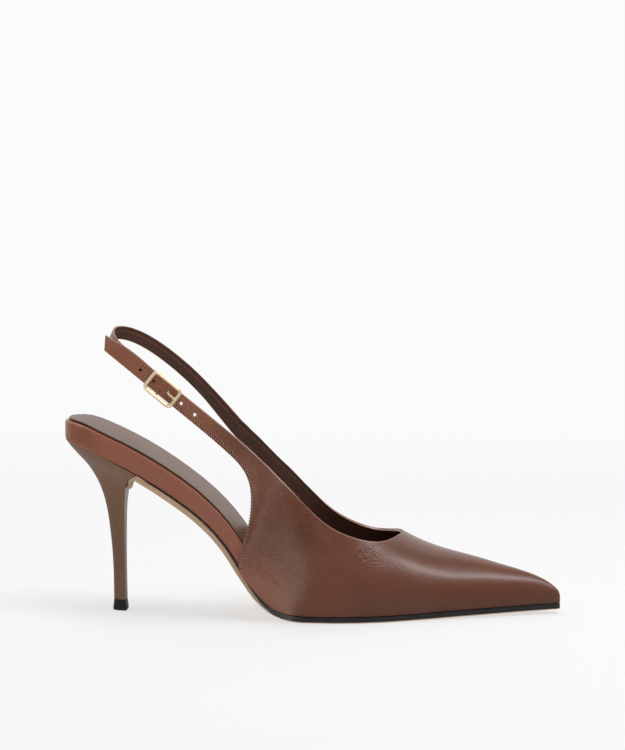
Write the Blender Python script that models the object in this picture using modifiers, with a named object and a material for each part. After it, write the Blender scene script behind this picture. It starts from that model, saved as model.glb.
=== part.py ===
"""A right slingback pump on a high slim heel, in metres: +X to the toe, +Y to the inner side, +Z up.

The pieces are worked out from the sizes below and from short tables. Stations run from 0 at the back of
the seat to 1 at the toe point, and every other share in a table is of the size that its column names.
"""

from collections import namedtuple
from math import cos, pi, radians, sin

import bmesh
import bpy
import numpy as np
from mathutils import Vector

MM = 0.001

# Last: the form that the shoe is built over
LENGTH = 250 * MM
BALL_WIDTH = 72 * MM
SEAT_WIDTH = 46 * MM
HEEL_HEIGHT = 87.7 * MM
VAMP_HEIGHT = 38 * MM
INSTEP_HEIGHT = 66 * MM
TOE_SPRING = 2.4 * MM
SEAT_ROUNDING = 24 * MM
SEAT_FULLNESS = 2.1
TOE_ROUNDING = 3.5 * MM

# Clearance between two pieces that meet
GAP = 0.3 * MM

# Upper
WALL = 1.5 * MM
UPPER_TUCK = 0.6 * MM
INNER_DROP = 1.7 * MM
INNER_DROP_STARTS = 0.41, 0.49
INNER_DROP_ENDS = 0.58, 0.67
QUARTER_BACK = 0.36
EDGE_SMOOTHING = 4 * MM
THROAT_BLEND = 18 * MM, 34 * MM

# Outsole
SOLE_THICKNESS = 2.9 * MM
WAIST_CROWN = 2.6 * MM
CROWN_STARTS = 0.13, 0.20
CROWN_ENDS = 0.36, 0.46
SOLE_BEVEL = 0.5 * MM
FLAP_THICKNESS = 1.5 * MM
FLAP_LENGTH = 0.36

# Covered insole and sock
RIM_HEIGHT = 11.6 * MM
RIM_OVERHANG = 0.5 * MM
RIM_ROUNDING = 1.6 * MM
INSOLE_SETBACK = 2.6 * MM
SOCK_THICKNESS = 1.0 * MM
SOCK_INSET = 2.0 * MM

# Heel and top piece
HEEL_SEAT_LENGTH = 38 * MM
HEEL_SETBACK = 23.9 * MM
HEEL_TIP_LENGTH = 6.4 * MM
HEEL_TIP_WIDTH = 7.8 * MM
HEEL_INSET = 0.4 * MM
TOP_PIECE_HEIGHT = 5.2 * MM
TOP_PIECE_SPREAD = 0.5 * MM

# Straps
STRAP_WIDTH = 8 * MM
SLING_WIDTH = 6.9 * MM
SLING_THICKNESS = 1.1 * MM
SLING_HEIGHT = 59 * MM
SLING_FOLD = 9 * MM
HOLE_WIDTH = 1.7 * MM
HOLE_PITCH = 8.8 * MM
HOLES_AHEAD = 2
HOLES_BEHIND = 2
STRAP_TURN = 6

# Buckle
BUCKLE_STATION = 0.209
BUCKLE_LENGTH = 18.4 * MM
BUCKLE_BAR = 1.9 * MM
BUCKLE_CORNER = 1.9 * MM
BUCKLE_DROP = 0.2 * MM
BUCKLE_BOW = 0.3 * MM
CENTRE_BAR = 1.1 * MM
CENTRE_BAR_BACK = 1.7 * MM
PRONG_WIDTH = 1.1 * MM
PRONG_HOLE = 4.3 * MM
SLOT_LENGTH = 6 * MM

# Length of a cubic curve's handle, for a quarter of a circle of radius 1
ARC_HANDLE = 0.5523

# Fineness of the faceted surfaces
SECTION_STEPS = 9
FINE_STEP = 4 * MM
EDGE_STEP = 0.5 * MM

Bottom = namedtuple("Bottom", "station heel toe rim")
BOTTOM = [
    Bottom(0.00, 1.000, 0.0, 0.86),
    Bottom(0.04, 0.974, 0.0, 0.94),
    Bottom(0.08, 0.921, 0.0, 0.99),
    Bottom(0.16, 0.803, 0.0, 1.00),
    Bottom(0.24, 0.653, 0.0, 1.02),
    Bottom(0.30, 0.511, 0.0, 1.03),
    Bottom(0.34, 0.374, 0.0, 1.10),
    Bottom(0.37, 0.236, 0.0, 1.19),
    Bottom(0.40, 0.113, 0.0, 1.10),
    Bottom(0.43, 0.040, 0.0, 0.84),
    Bottom(0.46, 0.008, 0.0, 0.62),
    Bottom(0.49, 0.000, 0.0, 0.49),
    Bottom(0.60, 0.000, 0.0, 0.34),
    Bottom(0.80, 0.000, 0.4, 0.28),
    Bottom(1.00, 0.000, 1.0, 0.26),
]

Outline = namedtuple("Outline", "station seat ball centre")
OUTLINE = [
    Outline(0.00, 0.500, 0.000, 0.000),
    Outline(0.12, 0.500, 0.000, 0.000),
    Outline(0.24, 0.465, 0.000, -0.025),
    Outline(0.32, 0.400, 0.044, -0.042),
    Outline(0.38, 0.280, 0.154, -0.044),
    Outline(0.44, 0.140, 0.306, -0.028),
    Outline(0.50, 0.040, 0.435, 0.003),
    Outline(0.56, 0.000, 0.494, 0.030),
    Outline(0.60, 0.000, 0.500, 0.053),
    Outline(0.64, 0.000, 0.490, 0.073),
    Outline(0.70, 0.000, 0.442, 0.092),
    Outline(0.76, 0.000, 0.366, 0.094),
    Outline(0.82, 0.000, 0.278, 0.083),
    Outline(0.88, 0.000, 0.192, 0.070),
    Outline(0.94, 0.000, 0.112, 0.057),
    Outline(1.00, 0.000, 0.050, 0.049),
]

# Closed sections of the vamp, from the throat to the toe: ridge is of the vamp height, and flare is the
# steepness in degrees with which the section leaves the sole
Vamp = namedtuple("Vamp", "station ridge flare")
VAMP = [
    Vamp(0.685, 0.968, 72),
    Vamp(0.717, 0.858, 72),
    Vamp(0.757, 0.754, 72),
    Vamp(0.798, 0.676, 73),
    Vamp(0.838, 0.605, 74),
    Vamp(0.878, 0.523, 76),
    Vamp(0.919, 0.441, 78),
    Vamp(0.949, 0.367, 80),
    Vamp(0.975, 0.277, 84),
    Vamp(0.991, 0.194, 88),
    Vamp(0.998, 0.135, 90),
    Vamp(1.000, 0.080, 90),
]

# Open sections of the quarters, throat to waist: the topline stands at its own station, at a height made of
# shares of the vamp and instep heights, and at a share of the half width on the outer and inner side. The
# section is an arc of an ellipse that turns by the given degrees, and starts at the sole flared to its side
Quarter = namedtuple("Quarter", "station top vamp instep outer inner turn flare")
QUARTER = [
    Quarter(0.674, 0.6765, 0.962, 0.000, 0.270, 0.270, 74.0, 72),
    Quarter(0.662, 0.667, 0.930, 0.000, 0.430, 0.430, 64.5, 72),
    Quarter(0.642, 0.652, 0.923, 0.000, 0.575, 0.575, 55.0, 72),
    Quarter(0.618, 0.635, 0.937, 0.000, 0.680, 0.680, 47.0, 72),
    Quarter(0.592, 0.615, 0.961, 0.000, 0.762, 0.760, 40.4, 72),
    Quarter(0.562, 0.590, 0.830, 0.107, 0.825, 0.820, 35.0, 73),
    Quarter(0.530, 0.560, 0.560, 0.313, 0.885, 0.877, 30.0, 74),
    Quarter(0.496, 0.526, 0.220, 0.594, 0.935, 0.918, 25.5, 76),
    Quarter(0.462, 0.496, 0.060, 0.799, 0.960, 0.943, 22.0, 79),
    Quarter(0.428, 0.476, 0.000, 0.906, 0.965, 0.960, 19.0, 82),
    Quarter(0.393, 0.460, 0.000, 0.958, 0.965, 0.980, 16.0, 86),
    Quarter(0.360, 0.442, 0.000, 1.001, 0.965, 1.010, 13.0, 89),
]

# The quarter's free part and its strap, by the middle of each section: rise and size are of the instep
# height, spread of the seat width at its lower and upper edge, swing in degrees forward of upright
Strap = namedtuple("Strap", "station rise size low high swing")
OUTER_STRAP = [
    Strap(0.400, 0.685, 0.443, 0.630, 0.624, 20.4),
    Strap(0.398, 0.778, 0.317, 0.625, 0.612, 15.0),
    Strap(0.394, 0.855, 0.193, 0.615, 0.604, 10.0),
    Strap(0.387, 0.904, 0.099, 0.602, 0.596, 7.5),
    Strap(0.378, 0.910, 0.045, 0.592, 0.588, 11.0),
    Strap(0.365, 0.886, 0.018, 0.580, 0.576, 21.0),
    Strap(0.346, 0.834, 0.008, 0.568, 0.565, 31.5),
    Strap(0.313, 0.780, 0.001, 0.552, 0.550, 37.4),
    Strap(0.274, 0.761, 0.000, 0.528, 0.528, 38.0),
    Strap(0.183, 0.794, 0.000, 0.452, 0.452, 38.0),
    Strap(0.117, 0.856, 0.000, 0.398, 0.398, 37.0),
    Strap(0.090, 0.870, -0.006, 0.374, 0.374, 4.5),
]
INNER_STRAP = [
    Strap(0.400, 0.680, 0.432, 0.520, 0.566, 20.4),
    Strap(0.398, 0.774, 0.309, 0.522, 0.556, 15.0),
    Strap(0.394, 0.855, 0.193, 0.526, 0.546, 10.0),
    Strap(0.387, 0.904, 0.099, 0.528, 0.538, 8.0),
    Strap(0.3785, 0.921, 0.055, 0.526, 0.530, 11.0),
    Strap(0.368, 0.905, 0.014, 0.522, 0.524, 22.0),
    Strap(0.355, 0.880, 0.008, 0.517, 0.518, 36.0),
    Strap(0.338, 0.850, 0.000, 0.512, 0.512, 48.0),
]

# The middle of the sling from the inner quarter round the back: rise is above the seat line, of the sling's
# height, spread is of the seat width and outward on the inner side
Sling = namedtuple("Sling", "station rise spread")
SLING = [
    Sling(0.3164, 0.945, 0.508),
    Sling(0.2839, 0.973, 0.492),
    Sling(0.2434, 1.021, 0.468),
    Sling(0.2031, 1.055, 0.434),
    Sling(0.1633, 1.078, 0.382),
    Sling(0.1360, 1.081, 0.325),
    Sling(0.1152, 1.070, 0.255),
    Sling(0.1008, 1.049, 0.172),
    Sling(0.0933, 1.023, 0.083),
    Sling(0.0924, 0.999, -0.010),
    Sling(0.0970, 0.982, -0.110),
    Sling(0.1060, 0.966, -0.205),
    Sling(0.1200, 0.953, -0.285),
    Sling(0.1420, 0.934, -0.343),
]

# Heel from the seat down to the top piece: back and front are how far the section has gone from the seat's
# place to the tip's, width how much of the seat's extra width is left, and high and low the levels of its
# back and front between the top piece and the seat
Heel = namedtuple("Heel", "back front width high low corner")
HEEL = [
    Heel(0.000, 0.000, 1.000, 1.000, 1.000, 2.1),
    Heel(0.110, 0.330, 0.830, 0.958, 0.972, 2.1),
    Heel(0.272, 0.610, 0.610, 0.905, 0.946, 2.1),
    Heel(0.440, 0.780, 0.430, 0.850, 0.908, 2.0),
    Heel(0.594, 0.880, 0.285, 0.785, 0.860, 2.0),
    Heel(0.724, 0.950, 0.175, 0.710, 0.800, 2.0),
    Heel(0.820, 1.000, 0.100, 0.625, 0.728, 2.0),
    Heel(0.887, 1.020, 0.058, 0.530, 0.635, 2.0),
    Heel(0.937, 1.035, 0.030, 0.415, 0.500, 2.0),
    Heel(0.975, 1.040, 0.012, 0.290, 0.355, 2.0),
    Heel(0.996, 1.025, 0.003, 0.150, 0.185, 2.0),
    Heel(1.000, 1.000, 0.000, 0.000, 0.000, 2.0),
]


def monotone(places, values, at):
    """A smooth curve through the values that never overshoots them, read at one place or an array of them."""
    places = np.asarray(places, float)
    values = np.asarray(values, float)
    steps = np.diff(places)
    slopes = np.diff(values) / steps
    tangents = np.concatenate([slopes[:1], np.zeros(len(slopes) - 1), slopes[-1:]])
    for i in range(1, len(slopes)):
        if slopes[i - 1] * slopes[i] > 0:
            near = 2 * steps[i] + steps[i - 1]
            far = steps[i] + 2 * steps[i - 1]
            tangents[i] = (near + far) / (near / slopes[i - 1] + far / slopes[i])
    at = np.clip(np.asarray(at, float), places[0], places[-1])
    cell = np.clip(np.searchsorted(places, at, side="right") - 1, 0, len(steps) - 1)
    step = steps[cell]
    part = (at - places[cell]) / step
    return (
        values[cell] * (1 + 2 * part) * (1 - part) ** 2
        + tangents[cell] * step * part * (1 - part) ** 2
        + values[cell + 1] * part**2 * (3 - 2 * part)
        + tangents[cell + 1] * step * part**2 * (part - 1)
    )


def column(rows, name):
    return [getattr(row, name) for row in rows]


def read(rows, name, station):
    """One column of a table at a station."""
    return monotone(column(rows, "station"), column(rows, name), station)


def smooth_path(points, count):
    """Evenly spaced points on a natural cubic spline through the given points, of any number of columns."""
    points = np.asarray(points, float)
    lengths = np.concatenate([[0], np.cumsum(np.linalg.norm(np.diff(points[:, :3], axis=0), axis=1))])
    return read_spline(lengths, points, np.linspace(0, lengths[-1], count))


def read_spline(places, points, at):
    """A natural cubic spline through rows of points at these places."""
    steps = np.diff(places)
    rise = np.diff(points, axis=0) / steps[:, None]
    size = len(points)
    system = np.eye(size)
    right = np.zeros_like(points)
    for i in range(1, size - 1):
        system[i, i - 1 : i + 2] = steps[i - 1], 2 * (steps[i - 1] + steps[i]), steps[i]
        right[i] = 6 * (rise[i] - rise[i - 1])
    bend = np.linalg.solve(system, right)
    cell = np.clip(np.searchsorted(places, at, side="right") - 1, 0, size - 2)
    step = steps[cell][:, None]
    after = (at - places[cell])[:, None]
    before = step - after
    return (
        (bend[cell] * before**3 + bend[cell + 1] * after**3) / (6 * step)
        + (points[cell] / step - bend[cell] * step / 6) * before
        + (points[cell + 1] / step - bend[cell + 1] * step / 6) * after
    )


def ease(value, start, end):
    """0 before start, 1 after end and a smooth step between."""
    part = np.clip((np.asarray(value, float) - start) / (end - start), 0, 1)
    return part * part * (3 - 2 * part)


def mix(first, second, part):
    return first + (second - first) * part


def rounded_end(distance, rounding, power=2.0):
    """Share of the full width at a distance from a rounded end."""
    part = np.clip(distance / rounding, 0, 1)
    return (1 - (1 - part) ** power) ** (1 / power)


def seat_line(x):
    """Height of the underside of the insole, which is also where the upper meets the sole."""
    station = x / LENGTH
    tread = SOLE_THICKNESS + GAP
    raised = (HEEL_HEIGHT - tread) * read(BOTTOM, "heel", station)
    return tread + raised + TOE_SPRING * read(BOTTOM, "toe", station)


def insole_top(x):
    return seat_line(x) + RIM_HEIGHT * read(BOTTOM, "rim", x / LENGTH)


def centre_line(x):
    return BALL_WIDTH * read(OUTLINE, "centre", x / LENGTH)


def full_half_width(x):
    """Half width of the sole, before its ends are rounded."""
    station = x / LENGTH
    return SEAT_WIDTH * read(OUTLINE, "seat", station) + BALL_WIDTH * read(OUTLINE, "ball", station)


def half_width(x):
    seat = rounded_end(x, SEAT_ROUNDING, SEAT_FULLNESS)
    toe = rounded_end(LENGTH - x, TOE_ROUNDING)
    return full_half_width(x) * seat * toe


def stations_between(start, end, count, round_start=False, round_end=False):
    """Places along the shoe, closer together towards a rounded end."""
    part = np.linspace(0, 1, count)
    if round_start and round_end:
        part = (1 - np.cos(pi * part)) / 2
    elif round_start:
        part = 1 - np.cos(pi / 2 * part)
    elif round_end:
        part = np.sin(pi / 2 * part)
    return mix(start, end, part)


def new_collection(name, shown=True):
    collection = bpy.data.collections.new(name)
    collection.hide_render = not shown
    bpy.context.scene.collection.children.link(collection)
    return collection


def new_object(name, mesh, collection, material=None):
    item = bpy.data.objects.new(name, mesh)
    collection.objects.link(item)
    if material:
        mesh.materials.append(material)
    return item


def new_material(name, colour, roughness, metallic=0.0):
    material = bpy.data.materials.new(name)
    material.use_nodes = True
    shader = material.node_tree.nodes["Principled BSDF"]
    shader.inputs["Base Color"].default_value = (*colour, 1)
    shader.inputs["Roughness"].default_value = roughness
    shader.inputs["Metallic"].default_value = metallic
    material.diffuse_color = (*colour, 1)
    return material


def mesh_from(name, vertices, faces, sharp_angle=40):
    mesh = bpy.data.meshes.new(name)
    mesh.from_pydata([tuple(map(float, v)) for v in vertices], [], faces)
    work = bmesh.new()
    work.from_mesh(mesh)
    bmesh.ops.remove_doubles(work, verts=work.verts, dist=0.01 * MM)
    bmesh.ops.recalc_face_normals(work, faces=work.faces)
    work.to_mesh(mesh)
    work.free()
    mesh.shade_smooth()
    mesh.set_sharp_from_angle(angle=radians(sharp_angle))
    return mesh


def loft(name, rings, closed_path=False, sharp_angle=40):
    """A closed solid through rings that have the same number of points."""
    rings = np.asarray(rings, float)
    count, size = rings.shape[:2]
    faces = []
    for i in range(count if closed_path else count - 1):
        after = (i + 1) % count
        for j in range(size):
            beside = (j + 1) % size
            faces.append((i * size + j, i * size + beside, after * size + beside, after * size + j))
    if not closed_path:
        faces.append(tuple(range(size))[::-1])
        faces.append(tuple(range((count - 1) * size, count * size)))
    return mesh_from(name, rings.reshape(-1, 3), faces, sharp_angle)


def subtract(target, cutter):
    """Cuts one object out of another with a Boolean modifier."""
    cutter.display_type = "WIRE"
    cutter.hide_render = True
    cut = target.modifiers.new("cut_" + cutter.name, "BOOLEAN")
    cut.object = cutter
    cut.operation = "DIFFERENCE"
    cut.solver = "EXACT"


def join(target, added):
    """Fuses one object into another with a Boolean modifier."""
    added.display_type = "WIRE"
    added.hide_render = True
    fuse = target.modifiers.new("join_" + added.name, "BOOLEAN")
    fuse.object = added
    fuse.operation = "UNION"
    fuse.solver = "EXACT"


def swept_tube(name, path, radius, collection, sides=8, closed=False):
    """A round bar along a path, as a closed mesh."""
    path = np.asarray(path, float)
    rings = []
    count = len(path)
    reference = None
    for i in range(count):
        before = path[i - 1] if closed or i else path[i]
        after = path[(i + 1) % count] if closed or i < count - 1 else path[i]
        along = Vector(after - before).normalized()
        if reference is None:
            reference = along.orthogonal().normalized()
        across = (reference - along * reference.dot(along)).normalized()
        other = along.cross(across)
        reference = across
        angles = [2 * pi * k / sides for k in range(sides)]
        rings.append([path[i] + radius * np.array(across * cos(a) + other * sin(a)) for a in angles])
    return new_object(name, loft(name, rings, closed), collection)


def rounded_section(half, low, high, rounding, across=6):
    """Section of a pad, seen from behind: flat above and underneath, with rounded edges."""
    rounding = min(rounding, 0.45 * (high - low), 0.9 * half)
    inner = half - rounding
    points = [(mix(-inner, inner, k / across), low) for k in range(across)]
    for centre_z, first in ((low + rounding, -90), (high - rounding, 0)):
        points += [
            (
                inner + rounding * cos(radians(first + turn)),
                centre_z + rounding * sin(radians(first + turn)),
            )
            for turn in (0, 45, 90)
        ]
    for k in range(1, across):
        y = mix(inner, -inner, k / across)
        points.append((y, high))
    for centre_z, first, turns in ((high - rounding, 90, (0, 45, 90)), (low + rounding, 180, (0, 45))):
        points += [
            (
                -inner + rounding * cos(radians(first + turn)),
                centre_z + rounding * sin(radians(first + turn)),
            )
            for turn in turns
        ]
    return points


def insole_half(x):
    """The rim stands out over the sole's edge behind the quarters, and is set back inside the upper."""
    start = QUARTER_BACK * LENGTH
    inside = ease(x, start + 2 * MM, start + 10 * MM)
    toe_room = rounded_end(LENGTH - INSOLE_SETBACK - WALL - x, TOE_ROUNDING)
    seat = rounded_end(x, SEAT_ROUNDING, SEAT_FULLNESS)
    return (full_half_width(x) * seat + mix(RIM_OVERHANG, -INSOLE_SETBACK, inside)) * toe_room


def build_insole(collection, material):
    end = LENGTH - INSOLE_SETBACK - WALL - 0.4 * MM
    places = np.concatenate([
        stations_between(0.3 * MM, 0.08 * LENGTH, 8, round_start=True),
        np.linspace(0.08 * LENGTH, 0.30 * LENGTH, 9)[1:],
        np.linspace(0.30 * LENGTH, 0.50 * LENGTH, 13)[1:],
        stations_between(0.50 * LENGTH, end, 14, round_end=True)[1:],
    ])
    rings = []
    for x in places:
        back = max(0, 1 - x / RIM_ROUNDING)
        pinch = RIM_ROUNDING * (1 - (1 - back**2) ** 0.5)
        low = seat_line(x) + pinch
        high = insole_top(x) - pinch
        section = rounded_section(insole_half(x), low, high, RIM_ROUNDING)
        rings.append([(x, centre_line(x) + y, z) for y, z in section])
    return new_object("insole", loft("insole", rings), collection, material)


def build_sock(collection, material):
    start = SOCK_INSET
    end = LENGTH - INSOLE_SETBACK - WALL - 3 * SOCK_INSET
    places = np.concatenate([
        stations_between(start + 0.3 * MM, 0.10 * LENGTH, 8, round_start=True),
        np.linspace(0.10 * LENGTH, 0.30 * LENGTH, 8)[1:],
        np.linspace(0.30 * LENGTH, 0.50 * LENGTH, 12)[1:],
        stations_between(0.50 * LENGTH, end - 0.4 * MM, 12, round_end=True)[1:],
    ])
    rings = []
    for x in places:
        half = insole_half(x) - SOCK_INSET
        if x < SEAT_ROUNDING:
            widest = SEAT_WIDTH / 2 + RIM_OVERHANG - SOCK_INSET
            half = min(half, widest * rounded_end(x - start, SEAT_ROUNDING, SEAT_FULLNESS))
        half = max(half * rounded_end(end - x, TOE_ROUNDING), 1.2 * MM)
        low = insole_top(x) + GAP
        section = rounded_section(half, low, low + SOCK_THICKNESS, 0.4 * MM)
        rings.append([(x, centre_line(x) + y, z) for y, z in section])
    return new_object("sock", loft("sock", rings), collection, material)


def heel_row(place):
    """The heel's section between two rows of its table, counted from 0 at the seat."""
    rows = np.arange(len(HEEL))
    return Heel(*(float(monotone(rows, column(HEEL, name), place)) for name in Heel._fields))


def heel_end(row, front):
    """Place of the back or the front of a heel section, seen from the side."""
    if front:
        tip = HEEL_SETBACK + HEEL_TIP_LENGTH
        x = mix(HEEL_SEAT_LENGTH, tip, row.front)
        seat = seat_line(HEEL_SEAT_LENGTH) - GAP
        level = row.low
    else:
        x = HEEL_SETBACK * row.back
        seat = seat_line(0) - GAP
        level = row.high
    base = TOP_PIECE_HEIGHT + GAP
    return x, mix(base, seat, level)


def heel_half(row):
    seat = SEAT_WIDTH / 2 - HEEL_INSET
    return mix(HEEL_TIP_WIDTH / 2, seat, row.width)


def d_outline(count, power):
    """A D seen from above: (0, 0) at its back, its flat side at 1, half width 1."""
    turns = np.linspace(-pi / 2, pi / 2, count)
    backs = 1 - np.abs(np.cos(turns)) ** (2 / power)
    sides = np.sign(np.sin(turns)) * np.abs(np.sin(turns)) ** (2 / power)
    return np.stack([backs, sides], 1)


def heel_ring(row):
    back_x, back_z = heel_end(row, False)
    front_x, front_z = heel_end(row, True)
    points = []
    outline = d_outline(25, row.corner)
    fit = row.high**14
    seat_back = seat_line(0)
    seat_front = seat_line(HEEL_SEAT_LENGTH)
    for along, side in outline:
        bow = seat_line(HEEL_SEAT_LENGTH * along) - mix(seat_back, seat_front, along)
        z = mix(back_z, front_z, along) + fit * bow
        points.append((mix(back_x, front_x, along), heel_half(row) * side, z))
    for part in (0.75, 0.5, 0.25):
        points.append((front_x, heel_half(row) * (2 * part - 1), front_z))
    return points


def build_heel(collection, material):
    rings = [heel_ring(heel_row(place)) for place in np.linspace(0, len(HEEL) - 1, 2 * len(HEEL) - 1)]
    return new_object("heel", loft("heel", rings), collection, material)


def build_top_piece(collection, material):
    rings = []
    row = HEEL[-1]
    for share, spread in ((1, 0), (0.9, 0.1), (0.12, 1), (0, 0.75)):
        z = TOP_PIECE_HEIGHT * share
        grow = TOP_PIECE_SPREAD * spread
        back = HEEL_SETBACK - grow
        long = HEEL_TIP_LENGTH + 2 * grow
        half = HEEL_TIP_WIDTH / 2 + grow
        rings.append([(back + long * along, half * side, z) for along, side in d_outline(21, row.corner)])
    return new_object("top_piece", loft("top_piece", rings), collection, material)


def sole_path():
    """Upper face of the outsole from its flap's end to the toe, with the half width and the thickness."""
    rows = []
    flap_rows = FLAP_LENGTH * (len(HEEL) - 1)
    for place in np.linspace(flap_rows, 0, 9)[:-1]:
        row = heel_row(place)
        x, z = heel_end(row, True)
        narrowing = 1 - 0.45 * ease(place, 0.55 * flap_rows, flap_rows)
        half = (heel_half(row) - 1.2 * MM) * narrowing
        rows.append((x + 1.4 * GAP, z - 0.6 * GAP, half, FLAP_THICKNESS))
    start = HEEL_SEAT_LENGTH + 2 * GAP
    places = np.concatenate([
        np.linspace(start, 0.30 * LENGTH, 9),
        np.linspace(0.30 * LENGTH, 0.50 * LENGTH, 17)[1:],
        stations_between(0.50 * LENGTH, LENGTH - 0.1 * MM, 17, round_end=True)[1:],
    ])
    for x in places:
        rows.append((x, seat_line(x) - GAP, half_width(x), SOLE_THICKNESS))
    return np.array(rows)


def build_outsole(collection, material):
    path = sole_path()
    tangents = np.gradient(path[:, :2], axis=0)
    tangents /= np.linalg.norm(tangents, axis=1)[:, None]
    normals = np.stack([tangents[:, 1], -tangents[:, 0]], 1)
    rings = []
    across = 8
    for (x, z, half, thick), (out_x, out_z) in zip(path, normals):
        station = x / LENGTH
        crown = WAIST_CROWN * ease(station, *CROWN_STARTS) * (1 - ease(station, *CROWN_ENDS))
        bevel = min(SOLE_BEVEL, 0.3 * half)
        middle = centre_line(x)
        ring = [(x, middle + mix(-half, half, k / across), z) for k in range(across + 1)]
        edge = thick - SOLE_BEVEL
        ring.append((x + out_x * edge, middle + half, z + out_z * edge))
        for k in range(across + 1):
            y = mix(half - bevel, bevel - half, k / across)
            depth = thick + crown * (1 - (y / half) ** 2)
            ring.append((x + out_x * depth, middle + y, z + out_z * depth))
        ring.append((x + out_x * edge, middle - half, z + out_z * edge))
        rings.append(ring)
    return new_object("outsole", loft("outsole", rings, sharp_angle=32), collection, material)


def feather(x, side):
    """Where the upper's outer face starts: over the insole's rim at the quarter's back, on the sole ahead."""
    start = QUARTER_BACK * LENGTH
    clear = RIM_OVERHANG + GAP + WALL + 0.1 * MM
    out = mix(clear, -UPPER_TUCK, ease(x, start + 3 * MM, start + 30 * MM))
    reach = (full_half_width(x) + out) * rounded_end(LENGTH - x, TOE_ROUNDING)
    return np.array([x, centre_line(x) + side * reach, seat_line(x)])


def vamp_rows(side):
    """Lower point, upper point, turn and flare of the closed sections, toe first."""
    rows = []
    for row in reversed(VAMP):
        x = row.station * LENGTH
        top = np.array([x, centre_line(x), seat_line(x) + VAMP_HEIGHT * row.ridge])
        rows.append((*feather(x, side), *top, 90, row.flare))
    return rows


def quarter_rows(side):
    rows = []
    for row in QUARTER:
        x = row.top * LENGTH
        share = row.outer if side < 0 else row.inner
        height = seat_line(x) + VAMP_HEIGHT * row.vamp + INSTEP_HEIGHT * row.instep
        if side > 0:
            lowered = ease(row.top, *INNER_DROP_STARTS) * (1 - ease(row.top, *INNER_DROP_ENDS))
            height -= INNER_DROP * lowered
        top = np.array([x, centre_line(x) + side * full_half_width(x) * share, height])
        rows.append((*feather(row.station * LENGTH, side), *top, row.turn, row.flare))
    return rows


def strap_rows(side):
    rows = []
    for row in OUTER_STRAP if side < 0 else INNER_STRAP:
        x = row.station * LENGTH
        z = seat_line(x) + INSTEP_HEIGHT * row.rise
        reach = (STRAP_WIDTH + INSTEP_HEIGHT * row.size) / 2
        forward = reach * sin(radians(row.swing))
        upward = reach * cos(radians(row.swing))
        low = (x - forward, side * SEAT_WIDTH * row.low, z - upward)
        top = (x + forward, side * SEAT_WIDTH * row.high, z + upward)
        rows.append((*low, *top, STRAP_TURN, 90))
    return rows


def section_curve(row, side):
    """A section of the upper: part of a quarter ellipse, flared at the sole and led to the upper edge."""
    low = np.array(row[:3])
    top = np.array(row[3:6])
    turn = radians(min(row[6], 90))
    flare = radians(min(row[7], 90))
    outward = np.array([0, side, 0])
    up = (top - low) * (1, 0, 1) / sin(turn)
    inward = (top - low) * (0, 1, 0) / (1 - cos(turn))
    flared = outward * up[2] * cos(flare) / sin(flare)
    end = turn / radians(90)
    part = np.linspace(0, end, SECTION_STEPS + 1)[:, None]
    curve = (
        low * (1 - part) ** 3
        + (low + ARC_HANDLE * (up + flared)) * 3 * part * (1 - part) ** 2
        + (low + up + (1 - ARC_HANDLE) * inward) * 3 * part**2 * (1 - part)
        + (low + up + inward) * part**3
    )
    return curve + (top - curve[-1]) * (part / end) ** 2


def averaged_edge(places, points, start, at):
    """An edge averaged with its neighbourhood by a bell curve from a start on, with both its ends kept."""
    count = round((places[-1] - start) / EDGE_STEP)
    dense = np.linspace(start, places[-1], count + 1)
    edge = read_spline(places, points, dense)
    reach = round(3 * EDGE_SMOOTHING / EDGE_STEP)
    before = 2 * edge[0] - edge[reach:0:-1]
    after = 2 * edge[-1] - edge[-2 : -reach - 2 : -1]
    longer = np.concatenate([before, edge, after])
    bell = np.exp(-0.5 * (np.arange(-reach, reach + 1) * EDGE_STEP / EDGE_SMOOTHING) ** 2)
    bell /= bell.sum()
    smooth = np.stack([np.convolve(values, bell, mode="valid") for values in longer.T], 1)
    read_at = np.clip(at, start, None)
    return np.stack([np.interp(read_at, dense, values) for values in smooth.T], 1)


def closed_turn(row, rise, side):
    """The turn and rise at which a section closed over the middle line passes the row's upper edge."""
    part = np.linspace(0.25, 1, 301)
    flare = radians(min(row[7], 90))
    handle = row[1] + side * ARC_HANDLE * rise * cos(flare) / sin(flare)
    middle = centre_line(row[3])
    height = 3 * ARC_HANDLE * part * (1 - part) ** 2 + 3 * part**2 * (1 - part) + part**3
    out = (
        row[1] * (1 - part) ** 3
        + handle * 3 * part * (1 - part) ** 2
        + mix(middle, row[1], ARC_HANDLE) * 3 * part**2 * (1 - part)
        + middle * part**3
    )
    end = np.interp(-side * row[4], -side * out, part)
    return 90 * end, rise * np.interp(end, part, height)


def closed_rise(row, side):
    """How high the closed section is that passes the row's upper edge."""
    needed = row[5] - row[2]
    rise = needed
    for _ in range(6):
        rise *= needed / closed_turn(row, rise, side)[1]
    return rise


def closed_rows(rows, at, side):
    """Sections of the closed vamp read anywhere along its ridge, which both sides share."""
    ridge = rows[:, 3:6]
    steps = np.linalg.norm(np.diff(ridge, axis=0), axis=1)
    ridge_places = np.concatenate([[0], np.cumsum(steps)])
    read_at = np.interp(at, np.arange(len(rows)), ridge_places)
    read = []
    for x, _, z in read_spline(ridge_places, ridge, read_at):
        read.append((*feather(x, side), x, centre_line(x), z, 90))
    flares = monotone(ridge_places, rows[:, 7], read_at)
    return np.column_stack([read, flares])


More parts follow.
